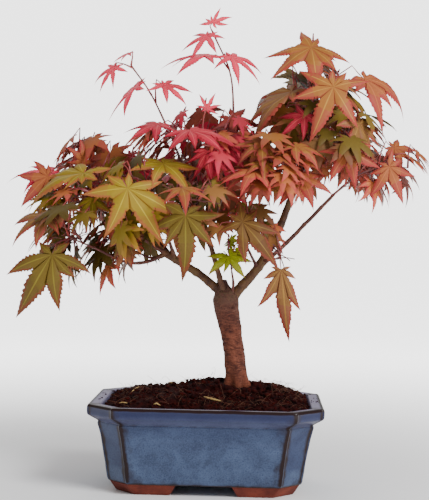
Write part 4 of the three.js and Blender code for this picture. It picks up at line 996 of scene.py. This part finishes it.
def blocked(shape, ownWood=None):  # does it cross anything that stands, but the wood of its own mass?
    meets = np.all((standing["low"] <= shape["high"]) & (standing["high"] >= shape["low"]), axis=1)
    near = [standing["shapes"][i] for i in np.flatnonzero(meets)]
    near = [old for old, mass, wood in near if ownWood is None or not (wood and mass == ownWood)]
    if not near:
        return False
    faces, edges = (np.concatenate([old[part] for old in near]) for part in ("faces", "edges"))
    return pierce(shape["edges"], faces) or pierce(edges, shape["faces"])


def owns(mass, point):  # inside the mass's reach and a margin, and nearer to it than to any other mass
    hearts, reaches = (np.array([m[part] for m in masses], float) for part in ("heart", "reach"))
    own = masses.index(mass)
    inside = np.linalg.norm((point - hearts[own]) / (reaches[own] + growth["spaceMargin"])) <= 1
    pull = ((point - hearts) ** 2).sum(1) - (reaches.mean(1) + growth["spaceMargin"]) ** 2
    return inside and pull[own] <= pull.min()


def bar(points, radii, sides, steps, margin=0):  # a plain tapering bar along a smooth line
    shares = np.linspace(0, 1, steps + 1)
    return tubes(curve(points, shares)[None], mix(radii[0] + margin, radii[1] + margin, shares)[None], sides)


def outwardLeaf(at, points, faces, blade, key, spread):
    along = unit(points)
    face = unit(faces - along * (faces @ along))
    return {"at": at, "along": along, "face": face, "side": np.cross(along, face),
            "blade": blade, "key": key, "spread": spread, "lobes": None}


def lobesOf(leaf):  # the five long lobes' angles and lengths
    places = np.arange(5)
    swing = growth["lobeSwing"] * (chance(leaf["key"], places) - 0.5)
    angles = np.radians(np.array(growth["lobeAngles"]) * leaf["spread"] + swing)
    shorter = 1 - growth["lobeVariety"] * chance(leaf["key"], places + 7)
    return angles, leaf["blade"] * np.array(growth["lobeLengths"]) * shorter


def sagOf(leaf, x, y):  # the blade hangs by the square of the distance from its heart
    sag = mix(*growth["leafSag"], chance(leaf["key"], 15))
    return -sag * (x * x + y * y) / leaf["blade"]


def placed(leaf, own):
    return leaf["at"] + own @ np.stack([leaf["side"], leaf["along"], leaf["face"]])


def testBlade(leaf, stalk, thin):
    # a thin lens over the lobes' tips, shoulders and the notches between them, with a stub of its stalk
    angles, lengths = lobesOf(leaf)
    outline = []
    for i in range(5):
        shoulder = lengths[i] > leaf["blade"] * growth["lobeShoulders"]
        half = growth["lobeHalfWidth"] * lengths[i]
        if shoulder:
            outline.append((angles[i], lengths[i] / 2, -half))
        outline.append((angles[i], lengths[i], 0))
        if shoulder:
            outline.append((angles[i], lengths[i] / 2, half))
        if i < 4:
            notch = growth["leafInlet"] * (lengths[i] + lengths[i + 1]) / 2
            outline.append(((angles[i] + angles[i + 1]) / 2, notch, 0))
    angle, along, across = np.array(outline).T
    x = along * np.sin(angle) + across * np.cos(angle)
    y = along * np.cos(angle) - across * np.sin(angle)
    half = growth["testThickness"] * thin * leaf["blade"] / 2
    turn = np.radians([-30, 90, 210])
    back = -growth["leafBack"] * leaf["blade"]
    stub = back - growth["stubShare"] * np.linalg.norm(stalk[1] - stalk[0])
    rings = [np.stack([np.cos(turn), np.zeros(3), np.sin(turn)], -1) * growth["stalkRadius"] + (0, level, 0)
             for level in (back, stub)]
    own = np.vstack([[(0, 0, half), (0, 0, -half)], np.stack([x, y, sagOf(leaf, x, y)], -1), *rings])
    last, ring = len(x) + 1, len(x) + 2
    i = np.arange(2, last)
    closing = [(0, ring, last), (0, ring + 1, ring), (0, ring + 2, ring + 1), (0, 2, ring + 2),
               (1, last, ring), (1, ring, ring + 2), (1, ring + 2, 2), (ring + 3, ring + 4, ring + 5)]
    around = [(ring + a, ring + b, ring + b + 3, ring + a + 3) for a, b in ((0, 1), (1, 2), (2, 0))]
    top, under = np.stack([0 * i, i + 1, i], -1), np.stack([0 * i + 1, i, i + 1], -1)
    return placed(leaf, own), np.vstack([threes(top, under, closing), around])


def stalkOf(leaf, joint):  # from the blade back to the twig: the last part is in line with the blade
    back = leaf["at"] - leaf["along"] * growth["leafBack"] * leaf["blade"]
    bend = back - leaf["along"] * growth["stalkBend"] * np.linalg.norm(back - joint)
    return np.array([back, bend, joint])


def inPlane(points):  # where a line of sight through a point crosses the plane of the trunk, y = 0
    eye = np.array(view["place"], float)
    share = eye[1] / (eye[1] - points[..., 1])
    return (eye + (points - eye) * share[..., None])[..., (0, 2)]


def inTheWay(leaf):  # would it be seen in an open place, or in front of a leading leaf that faces the viewer?
    angles, lengths = lobesOf(leaf)
    x, y = lengths * np.sin(angles), lengths * np.cos(angles)
    tips = np.stack([x, y, sagOf(leaf, x, y)], -1)
    spots = placed(leaf, np.vstack([tips, tips / 2, (0, 0, 0)]))
    seen = inPlane(spots)
    for x, z, reachX, reachZ in openPlaces:
        if np.any((((seen - (x, z)) / (reachX, reachZ)) ** 2).sum(1) < 1):
            return True
    for lead in grown["leaves"]:
        if lead["lobes"]:
            middle = inPlane(lead["at"] + lead["along"] * lead["blade"] * leadShare[0])
            near = np.linalg.norm(seen - middle, axis=1) < leadShare[1] * lead["blade"]
            if np.any(near & ((spots - lead["at"]) @ lead["face"] > leadBehind)):
                return True
    return False


def addShoot(mass, points, radii):
    shape = shapeOf(bar(points, radii, growth["twigSides"], 2, growth["twigMargin"]))
    if blocked(shape, mass["name"]):
        return False
    stand(shape, mass["name"], True)
    grown["shoots"].append((points, radii))
    return True


def addLeaf(mass, joint, leaf, spray, rank, thin=1, held=False):
    # a leaf is added only where it and its stalk are clear, but one that is held always is
    stalk = stalkOf(leaf, joint)
    blade = shapeOf(testBlade(leaf, stalk, thin))
    line = shapeOf(bar(stalk, [growth["testRadius"] * thin] * 2, growth["twigSides"], 2))
    if not held and ((rank and inTheWay(leaf)) or blocked(blade) or blocked(line, mass["name"])):
        return False
    stand(blade, mass["name"], False)
    stand(line, mass["name"], True)
    tints = mass["tints"]
    grown["leaves"].append({"tint": tints[int(chance(spray, 50) * len(tints))], **leaf, "rank": rank})
    grown["stalks"].append(np.vstack([stalk[::-1], leaf["at"]]))
    return True


def growStem(mass):
    # a stem starts inside its limb's tip, goes on in the limb's direction and bends to the heart
    points, radii = boughs[mass["limb"]]
    before, tip, heart = floats(*points[-2:], mass["heart"])
    ahead = unit(tip - before)
    onwards = tip + ahead * growth["stemLead"] * np.linalg.norm(heart - tip)
    bend = mix(onwards, heart, growth["stemBend"])
    mass["stem"] = np.array([tip - ahead * growth["stemRoot"], tip, bend, heart])
    radii = (radii[1] * growth["stemBase"], growth["stemTip"])
    shape = bar(mass["stem"], radii, growth["stemSides"], growth["stemSteps"], growth["twigMargin"])
    stand(shape, mass["name"], True)
    grown["stems"].append((mass["stem"], radii))


def growLeads(mass):
    for i, (at, points, faces, blade, tint, *more) in enumerate(mass["leads"]):
        more = dict(*more)
        key = mass["seed"] * 100 + 90 + i
        leaf = outwardLeaf(*floats(at, points, faces), blade, key, more.get("spread", 1))
        leaf.update(tint=tint, lobes=more.get("lobes"))
        joints = curve(mass["stem"], [more["joint"]] if "joint" in more else growth["leadJoints"])
        order = np.argsort(((joints - leaf["at"]) ** 2).sum(1), kind="stable")
        if not any(addLeaf(mass, joints[place], leaf, key, 0) for place in order):
            addLeaf(mass, joints[order[0]], leaf, key, 0, held=True)


def chooseLeaf(mass, joint, out, key, size):
    # it droops, points away from the trunk and turns its face to the light
    def draw(ends, place):
        return mix(*growth[ends], chance(key, place))

    blade = mass["blade"] * size * draw("bladeShare", 21)
    at = joint + out * blade * draw("stalkShare", 22)
    outward = unit(np.array([at[0] - growth["crownAxis"][0], at[1] - growth["crownAxis"][1], 0]))
    points = out + outward * growth["leafOutwards"]
    points[2] -= draw("leafDroop", 23) + max(out[2], 0)
    height = np.clip((at[2] - growth["crownBase"]) / growth["crownHeight"], 0, 1)
    faces = np.array([0, 0, mix(*growth["risingFace"], height)]) + outward * growth["faceOutwards"]
    faces = faces + growth["viewerSide"]
    faces[:2] += [draw("faceSwing", 24), draw("faceSwing", 25)]
    return outwardLeaf(at, points, faces, blade, key, draw("leafSpread", 26))


def growPair(mass, joint, ahead, turn, key, size=1.0, rank=1, thin=1, tries=growth["tries"]):
    # leaves stand in opposite pairs, and one that finds no room is turned further round the twig
    side = unit(np.cross(ahead, (0, 0, 1)))
    other = np.cross(side, ahead)
    shrink = fineTwigs["shrink"] if rank == 2 else 1
    for sign in (-1, 1):
        mass["count"] += 1
        leafKey = key * 100 + mass["count"]
        for attempt in range(tries):
            swing = mix(*growth["pairSwing"], chance(leafKey, 20))
            swing = math.radians(swing + attempt * sign * growth["triesTurn"])
            out = ahead * growth["stalkAhead"]
            out = out + sign * (side * math.cos(turn + swing) + other * math.sin(turn + swing))
            out[2] += growth["stalkLift"]
            leaf = chooseLeaf(mass, joint, unit(out), leafKey, size * shrink ** attempt)
            middle = leaf["at"] + leaf["along"] * leaf["blade"] / 2
            if owns(mass, leaf["at"]) and owns(mass, middle) and addLeaf(mass, joint, leaf, key, rank, thin):
                break


def growShoots(mass):  # shoots leave the stem evenly all round, each with two pairs of leaves
    heart, reach = floats(mass["heart"], mass["reach"])
    for shoot in range(mass["shoots"]):
        key = mass["seed"] + shoot * 0.37
        height = 1 - 2 * (shoot + 0.5) / mass["shoots"]
        turn = goldenAngle * shoot + 2 * math.pi * chance(mass["seed"], 40)
        level = math.sqrt(1 - height * height)
        aim = np.array([math.cos(turn) * level, math.sin(turn) * level, height]) * reach
        start = curve(mass["stem"], 0.5 + 0.5 * (shoot + 1) / mass["shoots"])
        end = heart + aim * mix(*growth["shootReach"], chance(key, 41))
        middle = mix(start, end, 0.5)
        middle[2] += growth["shootRise"] * np.linalg.norm(end - start)
        line = np.array([start, middle, end])
        if owns(mass, end) and addShoot(mass, line, growth["shootRadius"]):
            ahead = unit(end - middle)
            growPair(mass, mix(middle, end, growth["outerJoint"]), ahead, 0, key)
            growPair(mass, mix(middle, start, growth["innerJoint"]), ahead, math.pi / 2, key + 0.11)
            mass["carriers"].append((line, fineTwigs["joints"], key))


def growFine(mass):
    # the rule once more, smaller: side twigs from the shoots, the stem and the limb, each with two pairs
    carriers = mass["carriers"]
    if mass["shoots"]:
        carriers.append((mass["stem"], fineTwigs["stemJoints"], mass["seed"] + 0.5))
        carriers.append((boughs[mass["limb"]][0], fineTwigs["limbJoints"], mass["seed"] + 0.7))
    for points, joints, key in carriers:
        for i, joint in enumerate(joints):
            twigKey = key + 0.017 * (i + 1)
            start, beyond = curve(points, [joint, min(joint + fineTwigs["beyond"], 1)])
            ahead = unit(beyond - start)
            side = unit(np.cross(ahead, (0, 0, 1)))
            turn, lift = fineTwigs["turns"][i % len(fineTwigs["turns"])]
            turn = math.radians(turn * mix(*fineTwigs["variety"], chance(twigKey, 30)))
            out = unit(ahead * math.cos(turn) + side * math.sin(turn) + (0, 0, lift))
            end = start + out * mix(*fineTwigs["length"], chance(twigKey, 31))
            middle = mix(start, end, 0.5) + (0, 0, fineTwigs["rise"])
            if not owns(mass, end) or not addShoot(mass, np.array([start, middle, end]), fineTwigs["radius"]):
                continue
            for place, pairKey in ((end, twigKey), (mix(start, end, fineTwigs["nearTwig"]), twigKey + 0.007)):
                growPair(mass, place, out, fineTwigs["pairTurn"] * i, pairKey, fineTwigs["blade"], 2,
                         fineTwigs["thin"], fineTwigs["tries"])


def growAll():
    heights = np.array(trunk["sections"], float)[:, 1]
    rings = trunkRings(trunk["sides"], heights, boughFinish["margin"], rowed=True)
    stand(skin(ringPoints(*rings, heights)), None, True)
    for points, radii in boughs.values():
        steps = boughFinish["testSteps"] * (len(points) - 1)
        stand(bar(points, radii, boughFinish["testSides"], steps, boughFinish["margin"]), None, True)
    for mass in masses:
        mass.update(name="foliage_" + mass["name"], count=0, carriers=[])
        growStem(mass)
    for step in (growLeads, growShoots, growFine):
        for mass in masses:
            step(mass)
        print(f"{step.__name__}: {len(grown['leaves'])} leaves on {len(grown['shoots'])} shoots")


# Twigs and stalks

twigs = {
    "stems": (9, 22), "shoots": (7, 10), "stalks": (5, 6),          # sides and rows
    "nodeSwell": 0.35, "nodeReach": 0.04, "nodes": (0.5, 0.98),
    "stalkRadius": (0.62, 0.42), "stalkFoot": 0.45, "footReach": 0.06,
}


def woodMaterial(name, colour, roughness, scale, detail, dark, pale):
    material, add, where = newMaterial(name, colour, Roughness=roughness)
    layered(add, dark, (pale, 1, (grain(add, where, scale, detail), 0.35, 0.65)))
    return material


def makeTwigs():
    everyMass = [mass["name"] for mass in masses]
    parts = []
    for kind in ("stems", "shoots"):
        sides, rows = twigs[kind]
        t = np.linspace(0, 1, rows)
        middle = np.stack([curve(points, t) for points, _ in grown[kind]])
        radius = np.stack([mix(*radii, t) for _, radii in grown[kind]])
        toNode = np.minimum(*(np.abs(t - node) for node in twigs["nodes"]))
        swell = twigs["nodeSwell"] * bell(toNode / twigs["nodeReach"])
        parts.append(tubes(middle, radius * (1 + swell), sides))
    bark = woodMaterial("twigBark", (112, 50, 44), 0.5, 160, 3, (74, 28, 30), (112, 54, 44))
    makePiece("twigs", joined(parts), [bark], everyMass)

    sides, rows = twigs["stalks"]
    t = np.linspace(0, 1, rows)
    middle = np.stack([curve(points, t) for points in grown["stalks"]])
    radius = mix(*twigs["stalkRadius"], t) + twigs["stalkFoot"] * np.exp(-t / twigs["footReach"])
    stalk = woodMaterial("leafStalk", (118, 36, 42), 0.45, 60, 2, (100, 28, 36), (146, 58, 52))
    every = np.broadcast_to(radius, middle.shape[:2])
    makePiece("leaf_stalks", tubes(middle, every, sides), [stalk], everyMass)


# Leaves: seven lobes about the heart, each a grid of rows from heart to tip and columns from margin to
# margin. Half the width of a lobe follows its outline, with teeth on larger leaves, and the blade sags,
# curls at its tips and lets each lobe roll and lean to a side.

leaves = {
    # the small lobe beyond each outer one
    "backAngle": 50, "backShare": 0.8, "backLength": (0.3, 0.42), "backUnder": 0.5, "backWidth": 1.5,
    "arch": 0.03, "archPower": 0.7, "curl": (0.02, 0.2), "curlMost": 1.3, "bend": 14, "roll": 20,
    "lobeDroop": 0.09, "droopMiddle": 0.35, "thickness": 0.4, "spreadMore": 0.12,
    "middle": 0.014,                                                # how far the heart stands out
    # how far along a lobe, half its width there, and how much of that is inside the reddish margin
    "outline": ((0.3, 0.12, 0.84), (0.38, 0.144, 0.8), (0.46, 0.15, 0.74), (0.55, 0.136, 0.66),
                (0.65, 0.11, 0.56), (0.75, 0.078, 0.42), (0.85, 0.045, 0.25), (0.93, 0.02, 0.1), (1, 0, 0)),
    # the teeth of leading, other and fine leaves, and rows without teeth
    "teeth": ((0.36, 0.43, 0.5, 0.57, 0.64, 0.71, 0.78, 0.85, 0.91), (0.42, 0.58, 0.74), ()),
    "plain": ((), (0.87,), (0.44, 0.6, 0.8)),
    "toothDepth": 0.12, "toothVariety": (0.2, 1.5), "toothRun": 0.02,
    "notch": 0.14, "notchLeast": 0.37, "notchMost": 0.62, "notchOut": 1.05, "rootWithin": (0.2, 0.8),
    "vein": (0.014, 0.6), "veinTo": 0.86, "marginFrom": 0.34, "tipFrom": 0.78, "heartTo": 0.46,
    "narrow": {"rose": 0.72, "crimson": 0.85, "ruby": 0.85},
    "shades": (0.82, 0.94, 1.08), "leadShade": 1,
}
# Colours of the veins, of the blade, of its margins and tips, and of the blade near its heart
tintsOf = {
    "leaf_green": {"lime": ((168, 148, 46), (142, 107, 34), (151, 87, 44), (139, 115, 26)),
                   "fresh": ((148, 156, 36), (136, 138, 32), (130, 114, 34), (136, 142, 28))},
    "leaf_olive": {"olive": ((124, 110, 38), (98, 76, 28), (112, 60, 34), (100, 81, 27)),
                   "umber": ((124, 95, 39), (93, 58, 27), (111, 53, 37), (99, 67, 27)),
                   "bronze": ((149, 110, 51), (126, 77, 51), (135, 57, 45), (123, 84, 44))},
    "leaf_orange": {"apricot": ((172, 126, 56), (150, 78, 50), (152, 60, 48), (148, 93, 42)),
                    "coral": ((174, 100, 60), (150, 68, 52), (150, 52, 48), (152, 84, 46))},
    "leaf_crimson": {"crimson": ((208, 84, 86), (178, 40, 62), (150, 32, 46), (180, 50, 62)),
                     # crimson darkened: painted shade, for the shaded leaves of the red crown, dealt out by
                     # spray like the others
                     "ruby": ((146, 58, 50), (126, 42, 38), (108, 30, 32), (132, 50, 40))},
    "leaf_pink": {"rose": ((218, 98, 98), (222, 53, 80), (190, 46, 68), (222, 62, 84))},
}


lobeRoot = leaves["outline"][0][0]      # how far along a lobe of plain width its notches are


def leafRows(rank):  # how far from the notch to the tip its rows lie, and how much each tooth stands out
    teeth, run, depth = leaves["teeth"][rank], leaves["toothRun"], leaves["toothDepth"]
    rows = [(lobeRoot, 0)] + [(s, depth) for s in teeth] + [(s + run, -depth) for s in teeth]
    rows = np.array(sorted(rows + [(s, 0) for s in leaves["plain"][rank]] + [(1, 0)]))
    return (rows[:, 0] - lobeRoot) / (1 - lobeRoot), 1 + rows[:, 1]


def cells(numbers, a, b):  # the quads between two columns of each lobe's grid
    return np.stack([numbers[:, :-1, a], numbers[:, :-1, b], numbers[:, 1:, b], numbers[:, 1:, a]], -1)


def leafPattern(rank):
    # which grid point each corner is, with the heart, the notches and the tips shared, the faces, and
    # their zones: 0 for veins, 1 for the blade, 2 for margins and tips, 3 for the blade near its heart
    along = np.array([0, *mix(lobeRoot, 1, leafRows(rank)[0])])
    rows, columns = len(along), 3 if rank == 2 else 6
    numbers = np.arange(7 * rows * columns).reshape(7, rows, columns)
    numbers[:, 0] = 0
    numbers[:, -1] = numbers[:, -1, :1]
    numbers[:-1, 1, -1] = numbers[1:, 1, 0]
    kept, renumbered = np.unique(numbers, return_inverse=True)
    numbers = renumbered.reshape(numbers.shape)
    under = len(kept)
    top = cells(numbers, slice(0, -1), slice(1, None))
    middle = (along[1:] + along[:-1])[None, :, None] / 2 * np.ones(top.shape[:-1])
    zone = np.where(middle > leaves["tipFrom"], 2, np.where(middle < leaves["heartTo"], 3, 1))
    if rank < 2:
        zone[..., (0, -1)] = np.where(middle[..., (0, -1)] > leaves["marginFrom"], 2, 1)
        zone[..., 2] = np.where(middle[..., 2] < leaves["veinTo"], 0, 2)
    below = cells(numbers, -1, 0)
    below[:, 0, :2] = under
    ends = np.array([(0, numbers[0, 1, 0], under, -1), (under, numbers[6, 1, -1], 0, -1)])
    faces = np.vstack([top.reshape(-1, 4), below.reshape(-1, 4), ends])
    zones = np.concatenate([zone.ravel(), np.ones(len(faces) - zone.size, int)])
    for double, others in ((faces[:, 0] == faces[:, 1], [0, 2, 3]), (faces[:, 2] == faces[:, 3], [0, 1, 2])):
        faces[double] = threes(faces[double][:, others])
    return kept, faces, zones


def allLobes(leaf):  # the angles and lengths of all seven lobes
    if leaf["lobes"]:
        angles, lengths = np.array(leaf["lobes"], float).T
        return np.radians(angles), lengths
    angles, lengths = lobesOf(leaf)
    turn = leaves["backShare"] * math.radians(leaves["backAngle"]) * min(leaf["spread"], 1)
    back = leaf["blade"] * mix(*leaves["backLength"], chance(leaf["key"], np.array([31, 32])))
    return np.array([angles[0] - turn, *angles, angles[-1] + turn]), np.array([back[0], *lengths, back[1]])


def leafPoints(leaf, kept):
    key, blade, rank = leaf["key"], leaf["blade"], leaf["rank"]
    angles, lengths = allLobes(leaf)
    narrow = leaves["narrow"].get(leaf["tint"], 1)

    def draws(place):  # a number from 0 to 1 for each lobe
        return chance(key, place + np.arange(7))

    # the notch between two lobes lies further out where they are close together, and the rows of each side
    # of a lobe run from its notch to its tip
    gaps = angles[1:] - angles[:-1]
    notch = leaves["notch"] * narrow / np.sin(gaps / 2)
    notch = np.clip(notch, leaves["notchLeast"] * narrow, leaves["notchMost"])
    notch = notch * np.minimum(lengths[1:], lengths[:-1]) * leaves["notchOut"]
    deep = notch * np.cos(gaps / 2)
    start = np.array([[lobeRoot * lengths[0], *deep], [*deep, lobeRoot * lengths[-1]]]) / lengths
    rows, teeth = leafRows(rank)
    sides = np.clip(start, *leaves["rootWithin"])[..., None]
    sides = np.concatenate([0 * sides, sides + (1 - sides) * rows], -1)
    s = sides.mean(0)
    at, half, inner = np.array(leaves["outline"]).T
    thick = np.where(lengths < leaves["backUnder"] * blade, leaves["backWidth"], 1)
    thick = thick * min(1, leaf["spread"] + leaves["spreadMore"]) * narrow
    uneven = mix(*leaves["toothVariety"], chance(key, 100 + np.arange(14 * len(teeth)).reshape(2, 7, -1)))
    teeth = np.concatenate([np.ones((2, 7, 1)), 1 + (teeth - 1) * uneven], -1)
    width = np.interp(sides, at, half) * (thick * lengths)[:, None] * teeth
    bend = math.radians(leaves["bend"]) * (draws(40) * 2 - 1)
    axis = angles[:, None] + bend[:, None] * (s - lobeRoot).clip(0) ** 2
    sinAxis, cosAxis = np.sin(axis), np.cos(axis)

    def spot(share, across):
        along = share * lengths[:, None]
        return np.stack([along * sinAxis + across * cosAxis, along * cosAxis - across * sinAxis], -1)

    left, right = spot(sides[0], -width[0]), spot(sides[1], width[1])
    middle = (angles[1:] + angles[:-1]) / 2
    right[:-1, 1] = left[1:, 1] = notch[:, None] * np.stack([np.sin(middle), np.cos(middle)], -1)
    for lobe, side, turn in ((0, left, -0.5), (-1, right, 0.5)):
        out = lobeRoot * lengths[lobe]
        side[lobe, 1] = out * np.sin(angles[lobe] + turn), out * np.cos(angles[lobe] + turn)
    if rank == 2:
        flat = np.stack([left, spot(s, 0 * s), right], 2)
    else:
        vein = leaves["vein"][0] * (1 - s) ** leaves["vein"][1] * lengths[:, None]
        veins, inside = (spot(s, -vein), spot(s, vein)), np.interp(s, at, inner)[..., None]
        flat = np.stack([left, mix(veins[0], left, inside), *veins, mix(veins[1], right, inside), right], 2)
    x, y = flat[..., 0], flat[..., 1]
    far = np.hypot(x, y) / blade
    curl = mix(*leaves["curl"], chance(key, 16)) * blade
    droop = leaves["lobeDroop"] * blade * (draws(50) - leaves["droopMiddle"])
    z = sagOf(leaf, x, y) - curl * far.clip(0, leaves["curlMost"]) ** 4 - droop[:, None, None] * far ** 2
    roll = np.tan(np.radians(leaves["roll"] * (draws(70) * 2 - 1)))
    across = x * cosAxis[..., None] - y * sinAxis[..., None]
    z = z + across * (roll[:, None] * smooth((s - lobeRoot) / lobeRoot))[..., None]
    raised = leaves["middle"] * blade
    arch = leaves["arch"] * lengths[:, None] * np.sin(np.pi * s ** leaves["archPower"]) + raised * (1 - s)
    z[..., 1:-1] += arch[..., None]
    z[:-1, 1, -1] = z[1:, 1, 0] = sagOf(leaf, x[1:, 1, 0], y[1:, 1, 0])
    own = np.concatenate([flat, z[..., None]], -1).reshape(-1, 3)[kept]
    own[0] = (0, 0, raised)
    return placed(leaf, np.vstack([own, (0, 0, raised - leaves["thickness"])]))


def leafMaterials(name, colours):
    made = []
    for shade in leaves["shades"]:
        for zone, colour in zip(("Vein", "Blade", "Margin", "Heart"), colours):
            tone = np.clip(np.array(colour) * shade, 0, 255)
            material, add, where = newMaterial(f"{name}{zone}{round(shade * 100)}", tone, Roughness=0.55,
                                               Specular_IOR_Level=0.15)
            relief(add, grain(add, where, 420, 3), 0.0006, 0.25)
            made.append(material)
    return made


def makeLeaves():
    patterns = [leafPattern(rank) for rank in range(3)]
    shades = len(leaves["shades"])
    for slot, tints in tintsOf.items():
        materials = [material for tint, colours in tints.items() for material in leafMaterials(tint, colours)]
        parts, kinds = [], []
        for leaf in grown["leaves"]:
            if leaf["tint"] not in tints:
                continue
            kept, faces, zones = patterns[leaf["rank"]]
            parts.append((leafPoints(leaf, kept), faces))
            shade = int(chance(leaf["key"], 60) * shades) if leaf["rank"] else leaves["leadShade"]
            kinds.append(zones + 4 * (shade + shades * list(tints).index(leaf["tint"])))
        nodes = [mass["name"] for mass in masses if mass["tints"][0] in tints]
        name = slot.replace("leaf_", "leaves_")
        makePiece(name, joined(parts), materials, nodes, kinds=np.concatenate(kinds), sharp=55)


for make in (makeView, makePot, makeFeet, makeSoil, makeTrunk, makeBoughs, growAll, makeTwigs, makeLeaves):
    make()
